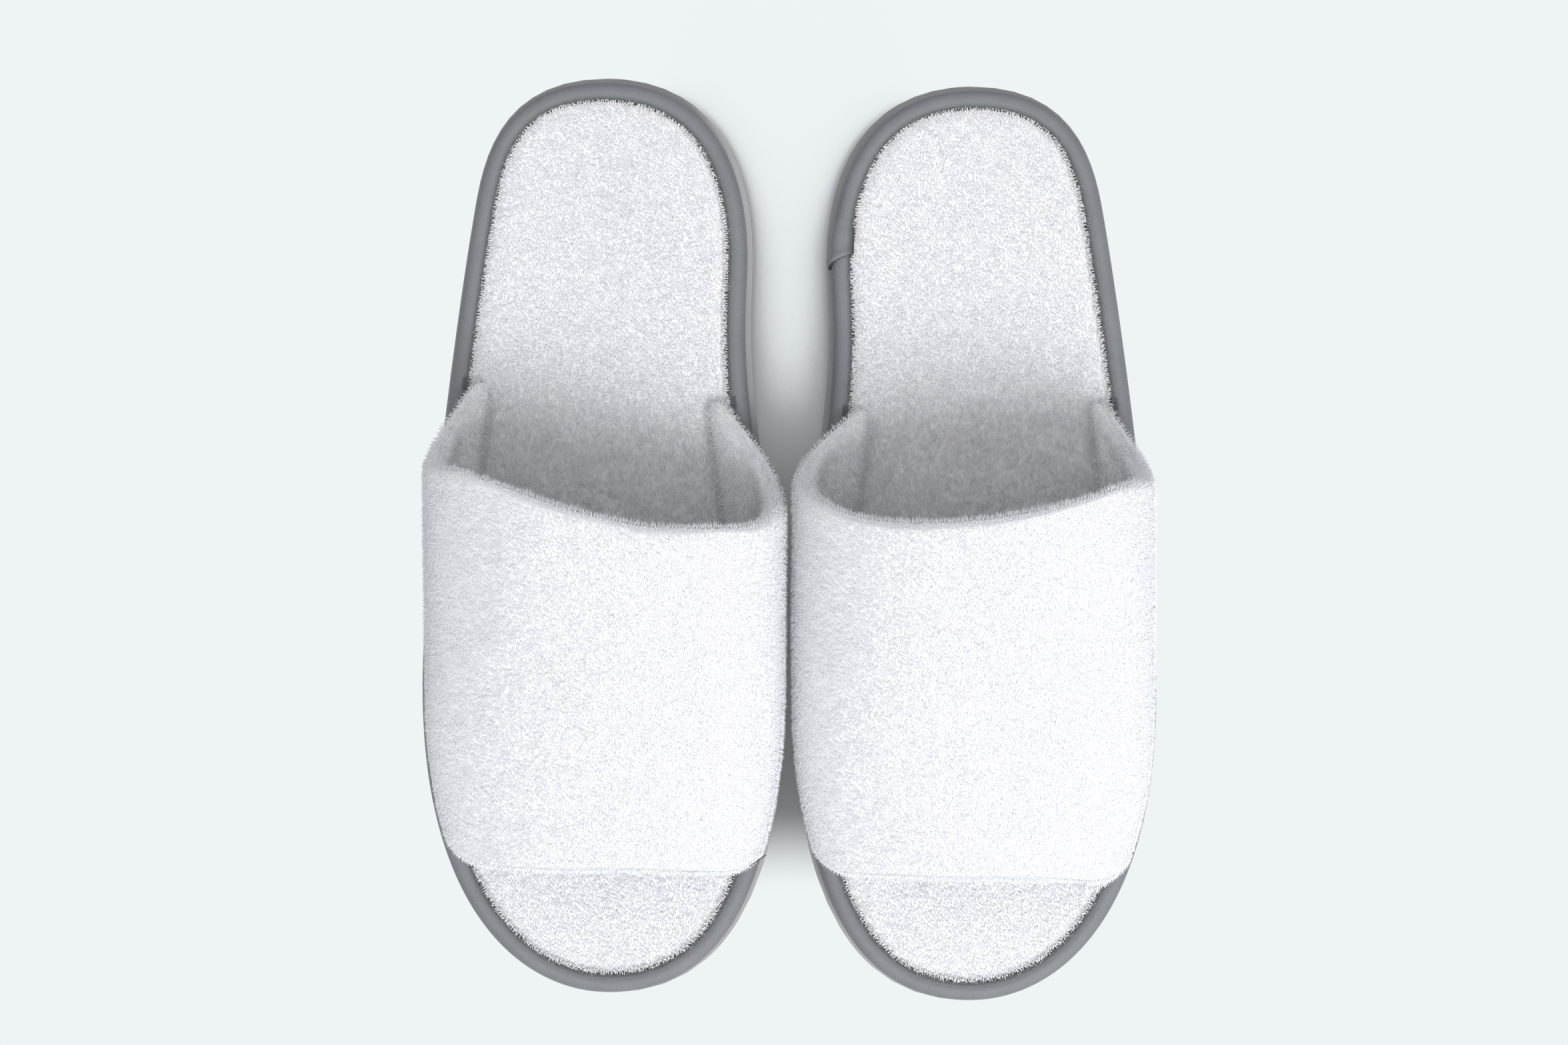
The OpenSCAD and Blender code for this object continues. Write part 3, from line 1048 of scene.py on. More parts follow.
def build_tape(foot):
    """The binding tape: a thin band wrapped round the footbed's edge, with woven ribs."""
    binding = bpy.context.scene.slipper_binding
    outer = tape_profile()
    inner = np.array(
        [
            (TAPE_WIDTH, TAPE_TOP - 1.35 * MM),
            (TAPE_FILL, TAPE_TOP - 1.35 * MM),
            (TAPE_FILL, BOARD_BOTTOM),
            (TAPE_WIDTH + 0.5 * MM, BOARD_BOTTOM),
            (TAPE_WIDTH + 0.5 * MM, SOLE_TOP),
        ]
    )
    profile = np.vstack([outer, inner])
    stations, across = TAPE_STATIONS, len(profile)
    place = EDGE.evenly(stations)
    turns = place / EDGE.length * math.tau
    circle = [(math.cos(a) * 60, math.sin(a) * 60, foot.seed) for a in turns]
    ripple = roughly(circle, 1.6, foot.seed)
    points = np.empty((stations, across, 3))
    for k, (inset, z) in enumerate(profile):
        loose = np.clip((inset / TAPE_WIDTH - 0.6) / 0.4, 0, 1) if k < len(outer) else 0
        points[:, k, :2] = EDGE.at(place, inset - RIPPLE_IN * ripple * loose)
        points[:, k, 2] = z + RIPPLE_UP * np.roll(ripple, 9) * loose
    faces = grid_faces(stations, across, closed_rows=True, closed_columns=True)
    tape = make_piece("tape", points.reshape(-1, 3), faces, foot)
    weld(tape)
    place_across = np.tile(np.clip(profile[:, 0] / TAPE_WIDTH, 0, 1), stations)
    # The tape's hidden inner faces take the painted crevice shade.
    place_across[np.tile(np.arange(across) >= len(outer), stations)] = 1
    set_attribute(tape.data, "across", "FLOAT", "POINT", place_across)
    tape.data.materials.append(satin_tape())
    tape.data.set_sharp_from_angle(angle=math.radians(50))
    shape = rib_shape(binding.rib_height, binding.rib_spacing * RIB_SHARE)
    ribs = edge_line(foot, "ribs", 0.0, 0.0)
    repeat_along(ribs, foot, shape, binding.rib_spacing, satin_tape(), keep=("across",))
    discard(shape)
    made = joined(foot.piece("binding_tape"), [tape, ribs])
    finish_piece(made, foot, ["edge_binding"])


def build_lap(foot):
    """The tape's end, which lies over its start. It rises out of the tape on its heel side,
    and on its toe side it is folded under on a slant, longest at the outer edge."""
    lo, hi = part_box(foot.piece("binding_lap"))
    span = sorted(foot.own([lo, hi])[:, 1])
    inner = EDGE.points[:, 0] > 0
    spots = [
        EDGE.places[:-1][inner][np.argmin(abs(EDGE.points[inner, 1] - y))] for y in span
    ]
    middle, reach = sum(spots) / 2, 0.46 * abs(spots[1] - spots[0])
    profile, out = tape_profile()[2:14], profile_normals(tape_profile())[2:14]
    rows, columns = 19, len(profile)
    steps = np.linspace(-1, 1, rows)
    rise = eased(np.clip((1 - steps) / 0.9, 0, 1))
    fold = np.exp(-((steps + 0.82) ** 2) / 0.05)
    shells = []
    for top in (True, False):
        shell = np.empty((rows, columns, 3))
        for k, ((inset, z), (dx, dz)) in enumerate(zip(profile, out, strict=True)):
            outer_share = 1 - k / (columns - 1)
            lift = ((0.75 + 0.6 * fold * (0.4 + outer_share)) * rise + 0.06) * top * MM
            slant = 2.6 * MM * (1 - 2 * outer_share**1.5) * (1 - steps) / 2
            shell[:, k, :2] = EDGE.at(middle + reach * steps + slant, inset + lift * dx)
            shell[:, k, 2] = z + lift * dz
        shells.append(shell.reshape(-1, 3))
    n = rows * columns
    front = grid_faces(rows, columns)
    back = front[:, ::-1] + n
    ring = (
        [k for k in range(columns)]
        + [r * columns + columns - 1 for r in range(1, rows)]
        + [(rows - 1) * columns + k for k in range(columns - 2, -1, -1)]
        + [r * columns for r in range(rows - 2, 0, -1)]
    )
    rim = [[a + n, b + n, b, a] for a, b in zip(ring, ring[1:] + ring[:1], strict=True)]
    faces = front.tolist() + back.tolist() + rim
    made = make_piece(foot.piece("tape_lap"), np.vstack(shells), faces, foot)
    shares = np.tile(np.clip(profile[:, 0] / TAPE_WIDTH, 0, 1), (2 * rows, 1))
    # Painted shade: the folded end and the whole underside take the dark crevice colour.
    shares[0] = shares[rows:] = 0.95
    set_attribute(made.data, "across", "FLOAT", "POINT", shares.ravel())
    weld(made)
    made.data.materials.append(satin_tape())
    subdivided(made, 2, keep=("across",))
    finish_piece(made, foot, ["binding_lap"])


def stitch_shape(length, radius, arch):
    """One stitch: a short thread that dives into the cloth at both ends."""
    rows, around = 7, 5
    t = np.linspace(-1, 1, rows)
    points = []
    for k in t:
        centre_z = arch * (1 - k * k) - 0.5 * radius
        r = radius * math.sqrt(max(0.06, 1 - abs(k) ** 5))
        for a in np.arange(around) * math.tau / around:
            points.append((r * math.cos(a), k * length / 2, centre_z + r * math.sin(a)))
    faces = grid_faces(rows, around, closed_columns=True)[:, ::-1].tolist()
    last = (rows - 1) * around
    faces += [list(range(around)), [last + k for k in range(around)][::-1]]
    return weld(make_piece("stitch_shape", points, faces))


def build_seam(foot):
    """The seam along the tape's inner margin: sunk stitches of thread the tape's colour."""
    binding = bpy.context.scene.slipper_binding
    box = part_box(foot.piece("binding_seam"))
    inset = box[0].y - foot.origin[1] - EDGE.points[:, 1].min() + 0.2 * MM
    shape = stitch_shape(binding.stitch_length * 0.82, 0.17 * MM, 0.1 * MM)
    made = edge_line(foot, foot.piece("binding_stitches"), inset, TAPE_TOP - 0.4 * MM)
    repeat_along(made, foot, shape, binding.stitch_length, thread(), 0.1, 0.06)
    discard(shape)
    finish_piece(made, foot, ["binding_seam"])


TACK_STEP = 0.42 * MM  # between the threads of a tack
TACK_SHIFT = 3.5 * MM  # from its CAD solid's middle towards the vamp's
TACK_REACH = 0.55  # of its CAD solid's length


def build_backtacks(foot):
    """A tack of close cross threads over each corner of the vamp."""
    corner = foot.own(corners(foot.piece("vamp_tacks")))
    shape = stitch_shape(TACK_STEP, 0.15 * MM, 0.12 * MM)
    cross = make_cross(shape)
    made = []
    for side in (-1, 1):
        for end in (-1, 1):
            near = corner[(corner[:, 0] * side > 0)]
            split = (near[:, 1].min() + near[:, 1].max()) / 2
            near = near[(near[:, 1] - split) * end > 0]
            middle = (near.mean(0) - (0, TACK_SHIFT * end, 0))[:2]
            away = np.linalg.norm(EDGE.points - middle, axis=1)
            place = EDGE.places[np.argmin(away)]
            inset = np.linalg.norm(EDGE.at(place) - middle)
            reach = (near[:, 1].max() - near[:, 1].min()) / 2 * TACK_REACH
            z = near[:, 2].min() + 0.06 * MM
            line = edge_line(foot, "tack", inset, z, place - reach, place + reach, 12)
            made.append(repeat_along(line, foot, cross, TACK_STEP, thread(), 0.12, 0.35))
    discard(shape, cross)
    done = joined(foot.piece("corner_tacks"), made)
    finish_piece(done, foot, ["vamp_tacks"])


def build_thread_end(foot):
    """A cut end of thread that was left on the toe corner of the vamp."""
    vamp = Vamp(foot, bpy.context.scene.slipper_vamp)
    w = np.array([0.42, 0.53])
    start, end = vamp.arch(w, vamp.toe(w) + np.array([2.0, 3.6]) * MM, -2.0 * MM)
    points, faces = thread_tail(start, end, 1.2 * MM, 0.17 * MM)
    made = weld(make_piece(foot.piece("thread_end"), points, faces, foot))
    made.data.materials.append(loose_thread())
    finish_piece(made, foot)


def thread_tail(start, end, lift, radius):
    """A cut end of thread that curls up off the cloth."""
    rows, around = 9, 5
    t = np.linspace(0, 1, rows)[:, None]
    path = start + (end - start) * t
    path[:, 2] += lift * np.sin(math.pi * t[:, 0] * 0.8)
    along = np.gradient(path, axis=0)
    along /= np.linalg.norm(along, axis=1)[:, None]
    side = np.cross(along, (0, 0, 1))
    side /= np.linalg.norm(side, axis=1)[:, None]
    up = np.cross(side, along)
    angles = np.arange(around) * math.tau / around
    ring = side[:, None] * np.cos(angles)[None, :, None]
    ring = ring + up[:, None] * np.sin(angles)[None, :, None]
    points = (path[:, None] + radius * ring).reshape(-1, 3)
    faces = grid_faces(rows, around, closed_columns=True).tolist()
    faces += [list(range(around))[::-1], [(rows - 1) * around + k for k in range(around)]]
    return points, faces


def make_cross(shape):
    """A stitch turned across its row and made as long as a tack is wide."""
    points = read_points(shape.data)
    turned = np.column_stack([points[:, 1] * 2.6, -points[:, 0], points[:, 2] * 1.2])
    faces = [list(p.vertices) for p in shape.data.polygons]
    return weld(make_piece("cross_shape", turned, faces))


# --- vamp -----------------------------------------------------------------------------------


def bezier(a, b, c, d, t):
    return (1 - t) ** 3 * a + 3 * (1 - t) ** 2 * t * b + 3 * (1 - t) * t**2 * c + t**3 * d


class Vamp:
    """The arch over the instep. Across it, w runs from -1 at the outer foot to 1 at the
    inner one, and y runs along the slipper."""

    STEP_SPAN = 0.6  # how much of w the throat's step to the outer shoulder takes
    WING_BEND = 1.7  # how sharply the throat's wings turn back
    CORNER, CORNER_SPAN = 0.66, 0.15  # where the toe edge is drawn back, and how widely
    BALL_OUT, BALL_IN = 95 * MM, 101 * MM  # from the toe's tip to where the vamp is widest
    LOWER = 0.4  # the share of each side that curves out to its widest place
    HIP = 0.42  # height of the widest place, of the crest's

    def __init__(self, foot, sizes):
        self.foot = foot
        self.sizes = sizes
        self.front = EDGE.points[:, 1].min()
        self.back = EDGE.points[:, 1].max()
        self.throat_y = self.back - sizes.heel_bare
        self.toe_y = self.front + sizes.toe_bare

    def throat(self, w):
        """Where the throat edge lies: lowest near the middle, a step to the outer shoulder,
        and a wing on either side."""
        own = self.foot.vamp
        low = self.throat_y + own["throat_shift"]
        wing_from = self.STEP_SPAN - own["throat_low"]
        step = np.clip((own["throat_low"] - w) / self.STEP_SPAN, 0, 1)
        outer = np.clip(-w - wing_from, 0, None) / (1 - wing_from)
        inner = np.clip(w - own["wing_start"], 0, None) / (1 - own["wing_start"])
        back_out = self.throat_y + self.sizes.wing_out - own["wing_less"]
        back_out -= low + own["throat_step"]
        back_in = self.throat_y + self.sizes.wing_in - low
        return (
            low
            + own["throat_step"] * (1 - np.cos(math.pi * step)) / 2
            + back_out * outer**self.WING_BEND
            + back_in * inner**self.WING_BEND
        )

    def toe(self, w):
        own = self.foot.vamp
        pulled_back = np.exp(-(((abs(w) - self.CORNER) / self.CORNER_SPAN) ** 2))
        return (
            self.toe_y
            - own["toe_skew"] * w
            + own["toe_bow"] * w * w
            + self.sizes.toe_corner * pulled_back
        )

    def crest(self, y):
        rise = self.sizes.throat_rise - self.sizes.toe_rise
        along = (y - self.toe_y) / (self.throat_y - self.toe_y)
        return self.sizes.toe_rise - COVER_TOP + rise * along

    def widest(self, side, y):
        ball_y = self.front + (self.BALL_OUT if side < 0 else self.BALL_IN)
        full = self.sizes.half_out if side < 0 else self.sizes.half_in
        follow = 1.0 if side < 0 else 1.3
        ball = EDGE.half_width(side, ball_y, TAPE_WIDTH)
        here = EDGE.half_width(side, np.minimum(y, ball_y), TAPE_WIDTH)
        return full - follow * (ball - here)

    def arch(self, w, y, depth):
        """Points of the arch, depth below its outer face."""
        w, y, depth = np.broadcast_arrays(w, y, depth)
        x, z = np.empty(w.shape), np.empty(w.shape)
        h = self.crest(y)
        top = h - depth
        for side in (-1, 1):
            mine = (w < 0) if side < 0 else (w >= 0)
            foot = EDGE.half_width(side, y, TAPE_WIDTH) - depth
            wide = self.widest(side, y) - depth
            k = (1 - abs(w)) / self.LOWER
            u = (1 - abs(w) - self.LOWER) / (1 - self.LOWER)
            low = self.HIP * h
            lower_x = bezier(foot, foot + 0.5 * (wide - foot), wide, wide, k)
            lower_z = bezier(0 * h, 0.14 * h, 0.2 * h, low, k)
            crest_x = side * self.sizes.crest_in
            upper_x = bezier(wide, wide, 0.6 * wide + 0.4 * crest_x, crest_x, u)
            upper_z = bezier(low, low + 0.58 * (top - low), top, top, u)
            up = k > 1
            x[mine] = (side * np.where(up, upper_x, lower_x))[mine]
            z[mine] = np.where(up, upper_z, lower_z)[mine]
        return np.stack([x, y, COVER_TOP + z], -1)


RIM = (0.0, 0.25, 0.8, 1.6, 2.5)  # where rows of points lie over a rolled edge
BODY_ROWS = 26  # rows of points between the rolled edges
MAP_EDGE, MAP_SPAN = 0.03, 0.94  # where a piece lies on its map
SUNK = 3 * MM  # how far the vamp's feet reach down beside the footbed


def build_vamp(foot):
    """The padded terry vamp: outer terry, foam and lining as one closed shell with rolled
    edges at throat and toe."""
    sizes = bpy.context.scene.slipper_vamp
    pile = bpy.context.scene.slipper_pile
    shape = Vamp(foot, sizes)
    outer_depth = 0.45 * pile.vamp_length
    inner_depth = sizes.thickness - pile.lining_length
    middle, half = (outer_depth + inner_depth) / 2, (inner_depth - outer_depth) / 2
    radius = 1.06 * half
    w = np.linspace(-1, 1, 57)
    rim = np.array(RIM) / RIM[-1] * radius
    throat, toe = shape.throat(w), shape.toe(w)
    share = np.linspace(0, 1, BODY_ROWS + 2)[1:-1, None]
    body = throat - radius - (throat - toe - 2 * radius) * share
    y = np.vstack([throat - rim[:, None], body, toe + rim[::-1, None]])
    thick = np.concatenate([rim, np.full(BODY_ROWS, radius), rim[::-1]])
    rows, columns = y.shape
    bulk = half * np.sqrt(np.clip(1 - (1 - thick / radius) ** 2, 0.004, 1))[:, None]
    outer = shape.arch(w[None, :], y, middle - bulk)
    inner = shape.arch(w[None, :], y, middle + bulk)

    def foot_end(side, face):
        column = (outer if face == "outer" else inner)[:, 0 if side < 0 else -1].copy()
        column[:, 2] = COVER_TOP - SUNK
        return column[:, None, :]

    loop = np.concatenate(
        [
            outer,
            foot_end(1, "outer"),
            foot_end(1, "inner"),
            inner[:, ::-1],
            foot_end(-1, "inner"),
            foot_end(-1, "outer"),
        ],
        axis=1,
    )
    around = loop.shape[1]
    faces = grid_faces(rows, around, closed_columns=True)
    zone = np.zeros((rows - 1, around), int)
    zone[:, : columns - 1] = 1
    zone[:, columns + 2 : 2 * columns + 1] = 2
    caps = []
    twins = [2 * columns + 1 - j for j in range(columns)]
    pairs = [(around - 1, around - 2)] + [(j, twins[j]) for j in range(columns)]
    pairs += [(columns, columns + 1)]
    for row, flip in ((0, False), (rows - 1, True)):
        for (a, b), (c, d) in zip(pairs, pairs[1:], strict=False):
            quad = [row * around + k for k in (a, b, d, c)]
            caps.append(quad[::-1] if flip else quad)
    made = make_piece(
        foot.piece("vamp_padded"),
        loop.reshape(-1, 3),
        faces[:, ::-1].tolist() + [q[::-1] for q in caps],
        foot,
    )
    mesh = made.data
    set_attribute(mesh, "zone", "INT", "FACE", list(zone.ravel()) + [1] * len(caps))
    across = np.concatenate([w, [1.02, 1.02], w[::-1], [-1.02, -1.02]])
    along = np.linspace(0, 1, rows)
    spots = np.zeros((rows, around, 3))
    spots[..., 0] = 0.5 + MAP_SPAN / 2 * across[None, :]
    spots[..., 1] = MAP_EDGE + MAP_SPAN * along[:, None]
    set_attribute(mesh, "root", "FLOAT_VECTOR", "POINT", spots.reshape(-1, 3))
    held = np.zeros((rows, around), bool)
    held[:, columns - 1 : columns + 3] = True
    held[:, [0, 2 * columns + 1, -2, -1]] = True
    swell(made, held.ravel(), sizes.pressure, sizes.swell_cap)
    rest = read_points(mesh)
    ease = np.clip((rest[:, 2] - COVER_TOP) / (12 * MM), 0, 1)
    folds = 0.55 * MM * roughly(rest * (1, 0.6, 1), 26 * MM, foot.seed + 2)
    folds += 0.2 * MM * roughly(rest, 9 * MM, foot.seed + 3)
    normals = np.empty(len(rest) * 3)
    mesh.vertex_normals.foreach_get("vector", normals)
    normals = normals.reshape(-1, 3)
    write_points(mesh, rest + normals * (folds * ease)[:, None])
    mesh.materials.append(terry_ground())
    subdivided(made, 1, keep=("zone", "root"))
    return made


# --- pile -----------------------------------------------------------------------------------


def plan_pile(mesh, nap, length, root):
    """Says how the pile on a mesh is combed, how long it is, and where it lies on its map."""
    set_attribute(mesh, "nap", "FLOAT_VECTOR", "POINT", nap)
    set_attribute(mesh, "grow", "FLOAT", "POINT", length)
    set_attribute(mesh, "root", "FLOAT_VECTOR", "POINT", root)


def ground_of(made, faces, nap, length, root):
    """A copy of some faces of a piece, for pile to grow on."""
    mesh = made.data
    keep = sorted({v for f in faces for v in mesh.polygons[f].vertices})
    renumber = {v: i for i, v in enumerate(keep)}
    points = read_points(mesh)[keep]
    quads = [[renumber[v] for v in mesh.polygons[f].vertices] for f in faces]
    ground = make_piece("ground", points, quads)
    plan_pile(ground.data, nap[keep], length[keep], root[keep])
    return ground


def sow(ground, name, foot, strand_length, spacing, span, seed, stout=1.0):
    """Grows pile on a ground and makes it a piece."""
    pile = bpy.context.scene.slipper_pile
    width = stout * pile.strand_width
    ground.name = name
    grow(
        ground,
        pile_tree(),
        {
            "Spacing": spacing,
            "Strand length": strand_length,
            "Strand width": width,
            "Tuft size": pile.tuft_size,
            "Unruliness": pile.unruliness,
            "Map step": (width / span[0], width / span[1], 0.0),
            "Seed": seed,
            "Finish": terry_pile(),
        },
    )
    baked(ground, keep=("OFBake", "tip"))
    finish_piece(ground, foot)
    return ground


COVER_COMB, VAMP_COMB = 0.95, 0.7  # how far the pile leans towards the toes
THROAT_COMB = 1.1  # how far it leans back again along the throat


def sow_cover(foot, cover):
    """Pile on the footbed, combed towards the toes and out over the tape's inner edge."""
    pile = bpy.context.scene.slipper_pile
    mesh = cover.data
    points = foot.own(read_points(mesh))
    distance = EDGE.distance(points[:, :2])
    gaps = np.linalg.norm(points[:, None, :2] - EDGE.points[None, ::16], axis=2)
    near = EDGE.out[::16][np.argmin(gaps, axis=1)]
    fringe = np.clip(1 - (distance - TAPE_WIDTH) / (2.2 * MM), 0, 1)
    nap = np.zeros((len(points), 3))
    nap[:, 1] = -COVER_COMB
    nap[:, :2] = nap[:, :2] * (1 - fringe)[:, None] + 1.2 * near * fringe[:, None]
    nap[:, 0] *= foot.hand
    length = 1 + 0.2 * fringe
    width = np.ptp(points[:, 0])
    reach = np.ptp(points[:, 1])
    root = np.zeros((len(points), 3))
    root[:, 0] = 0.5 + MAP_SPAN * (points[:, 0] - points[:, 0].mean()) / width
    root[:, 0] = np.clip(root[:, 0], 0.01, 0.99)
    root[:, 1] = 0.5 + MAP_SPAN * points[:, 1] / reach
    tops = [
        p.index
        for p in mesh.polygons
        if p.normal.z > 0.3 and distance[list(p.vertices)].min() > TAPE_WIDTH - 0.5 * MM
    ]
    for half, name in ((-1, "footbed_pile_outer"), (1, "footbed_pile_inner")):
        mine = [f for f in tops if foot.own(mesh.polygons[f].center[:])[0] * half > 0]
        sow(
            ground_of(cover, mine, nap, length, root),
            foot.piece(name),
            foot,
            pile.sole_length,
            pile.spacing,
            (width, reach),
            foot.seed + half,
        )


FRINGE_STATIONS = 620
FRINGE_LEAN = np.array([2.2, 2.0, 1.6])  # outwards, of each ring from the outermost


def sow_fringe(foot):
    """The ragged fringe of longer pile that leans out over the tape's inner edge."""
    pile = bpy.context.scene.slipper_pile
    stations = FRINGE_STATIONS
    place = EDGE.evenly(stations)
    rings = [
        np.column_stack(
            [EDGE.at(place, TAPE_WIDTH + inset * MM), np.full(stations, TAPE_TOP + z * MM)]
        )
        for inset, z in ((-0.5, -0.5), (0.4, -0.2), (1.3, 0.1))
    ]
    points = np.stack(rings, axis=1).reshape(-1, 3)
    ring = make_piece(
        "fringe", points, grid_faces(stations, len(rings), closed_rows=True), foot
    )
    out = EDGE.at(place, -1.0) - EDGE.at(place)
    nap = np.zeros((stations, len(rings), 3))
    nap[..., :2] = out[:, None, :] * FRINGE_LEAN[None, :, None]
    nap = nap.reshape(-1, 3) * (foot.hand, 1, 1)
    ragged = roughly(points * (1, 1, 0), 1.7 * MM, foot.seed + 5)
    length = 0.8 + 1.5 * np.clip(ragged, -0.35, 0.6)
    span = np.ptp(points[:, 0]), np.ptp(points[:, 1])
    root = np.zeros((len(points), 3))
    root[:, 0] = 0.5 + MAP_SPAN * points[:, 0] / span[0]
    root[:, 0] -= root[:, 0].min() - 0.02
    root[:, 1] = 0.5 + MAP_SPAN * points[:, 1] / span[1]
    plan_pile(ring.data, nap, length, root)
    sow(
        ring,
        foot.piece("footbed_fringe"),
        foot,
        pile.fringe_length,
        1.25 * pile.spacing,
        span,
        foot.seed + 4,
        stout=1.7,
    )


def sow_vamp(foot, vamp):
    """Pile on the vamp: outside and lining, each in two halves. It is combed towards the
    toes, stands up along the throat and leans out over the tape at the feet."""
    pile = bpy.context.scene.slipper_pile
    mesh = vamp.data
    points = foot.own(read_points(mesh))
    zone = get_attribute(mesh, "zone").astype(int)
    root = get_attribute(mesh, "root", 3)
    along = (root[:, 1] - MAP_EDGE) / MAP_SPAN
    low = np.clip(1 - (points[:, 2] - COVER_TOP) / (3 * MM), 0, 1)
    nap = np.zeros((len(points), 3))
    nap[:, 1] = -VAMP_COMB
    nap[:, 2] = -0.25 * low
    edges = np.clip(1 - along / 0.08, 0, 1) + np.clip(1 - (1 - along) / 0.06, 0, 1)
    nap[:, 1] += np.clip(1 - along / 0.1, 0, 1) * THROAT_COMB
    ragged = roughly(points, 2.4 * MM, foot.seed + 6)
    length = 1 + edges * (0.35 + 0.7 * ragged)
    lean = np.sign(points[:, 0]) * low * 0.8 * foot.hand
    for number, side_name, strand, away in (
        (1, "outside", pile.vamp_length, lean),
        (2, "lining", pile.lining_length, -1.4 * lean),
    ):
        nap[:, 0] = away
        tall = length + (0.5 * low if number == 2 else 0)
        for half, half_name in ((-1, "outer"), (1, "inner")):
            mine = [
                p.index
                for p in mesh.polygons
                if zone[p.index] == number
                and (root[list(p.vertices), 0].mean() - 0.5) * half > 0
                and p.center.z > COVER_TOP - 2.0 * MM
            ]
            sow(
                ground_of(vamp, mine, nap, tall, root),
                foot.piece(f"vamp_{side_name}_pile_{half_name}"),
                foot,
                strand,
                pile.spacing,
                (200 * MM, 120 * MM),
                foot.seed * 10 + number * 2 + half,
            )


# --- stage ----------------------------------------------------------------------------------


FLOOR_HALF = 6.0
GAP_SOFT = 14 * MM  # how far the shade takes to fade at the gap's end
# Painted shade of the floor: its deepest glow level, then ambient occlusion values and the
# glow levels they give.
PAINTED_DEEP_SHADE = 0.12
PAINTED_SHADES = ((0.17, 0.19), (0.5, 0.36), (0.61, 0.5), (0.7, 0.87), (0.82, 0.96))


def build_floor(looks):
    """A pale glowing floor, with painted shade only in the gap between the slippers."""
    half = FLOOR_HALF
    corner = [(-half, -half, 0), (half, -half, 0), (half, half, 0), (-half, half, 0)]
    floor = make_piece("floor", corner, [(0, 1, 2, 3)], smooth=False)
    made = bpy.data.materials.new("Pale floor")
    made.use_nodes = True
    tree = made.node_tree
    tree.nodes.clear()
    split = parts(tree, add(tree, "ShaderNodeTexCoord").outputs["Object"])
    # The painted shade is held to a band near the middle line that ends short of the toes.
    end = -looks.gap_end
    behind_toes = spread(tree, split["Y"], end - GAP_SOFT, end + GAP_SOFT)
    aside = maths(tree, "ABSOLUTE", split["X"])
    between = spread(tree, aside, looks.gap_half, 0.4 * looks.gap_half)
    between = maths(tree, "MULTIPLY", between, behind_toes)
    # Painted shade: ambient occlusion dims the floor's glow inside that band.
    open_air = add(
        tree, "ShaderNodeAmbientOcclusion", {"Distance": looks.gap_reach}, samples=24
    ).outputs["AO"]
    ramp = add(tree, "ShaderNodeValToRGB", {"Fac": open_air})
    ramp.color_ramp.elements[0].color = (PAINTED_DEEP_SHADE, PAINTED_DEEP_SHADE, PAINTED_DEEP_SHADE, 1)
    for position, light in PAINTED_SHADES:
        ramp.color_ramp.elements.new(position).color = (light, light, light, 1)
    light = add(tree, "ShaderNodeSeparateColor", {0: ramp.outputs["Color"]}).outputs[0]
    strength = mixed(tree, between, 1.0, light)
    tint = (*looks.floor_color, 1)
    glow = add(tree, "ShaderNodeEmission", {"Color": tint, "Strength": strength})
    ends = add(tree, "ShaderNodeOutputMaterial")
    tree.links.new(glow.outputs[0], ends.inputs["Surface"])
    floor.data.materials.append(made)


LAMP_SIZE = 0.9
LAMP_REACH = 2  # from the lamp to the slippers, in metres
CAMERA_SPOT = (-1.7 * MM, 5.3 * MM)


def build_lights(looks):
    world = bpy.data.worlds.new("Soft studio")
    world.use_nodes = True
    sky = world.node_tree.nodes["Background"]
    sky.inputs["Color"].default_value = (*looks.sky_color, 1)
    sky.inputs["Strength"].default_value = looks.sky_strength
    bpy.context.scene.world = world
    lamp = bpy.data.lights.new("Softbox", "AREA")
    lamp.shape = "SQUARE"
    lamp.size = LAMP_SIZE
    lamp.energy = looks.lamp_power
    holder = bpy.data.objects.new("Softbox", lamp)
    height = math.radians(looks.lamp_height)
    side = math.radians(looks.lamp_side)
    flat, up = LAMP_REACH * math.cos(height), LAMP_REACH * math.sin(height)
    holder.location = (flat * math.sin(side), -flat * math.cos(side), up)
    aim = -Vector(holder.location)
    holder.rotation_euler = aim.to_track_quat("-Z", "Y").to_euler()
    bpy.context.scene.collection.objects.link(holder)


def build_camera(looks):
    lens = bpy.data.cameras.new("Overhead camera")
    lens.lens = looks.lens
    lens.clip_start, lens.clip_end = 0.01, 20
    camera = bpy.data.objects.new("Overhead camera", lens)
    camera.location = (*CAMERA_SPOT, looks.camera_height)
    bpy.context.scene.collection.objects.link(camera)
    bpy.context.scene.camera = camera


# --- add-on ---------------------------------------------------------------------------------


def length_property(name, about, value, low, high):
    """A length, with its values in millimetres."""
    return FloatProperty(
        name=name,
        description=about,
        default=value * MM,
        min=low * MM,
        max=high * MM,
        unit="LENGTH",
        subtype="DISTANCE",
        precision=5,
    )


def number_property(name, about, value, low, high, unit="NONE"):
    return FloatProperty(
        name=name, description=about, default=value, min=low, max=high, unit=unit
    )


def color_property(name, about, value):
    return FloatVectorProperty(
        name=name, description=about, default=value, subtype="COLOR", size=3, min=0, max=1
    )


class SoleSettings(bpy.types.PropertyGroup):
    edge_round: length_property(
        "Edge rounding", "How far the outsole's cut edges are softened", 0.45, 0, 1
    )
    # Painted shade: a grey well below the white foam's own colour.
    foam_tone_with_painted_shade: color_property("Foam", "Colour of the outsole foam", (0.43, 0.435, 0.445))


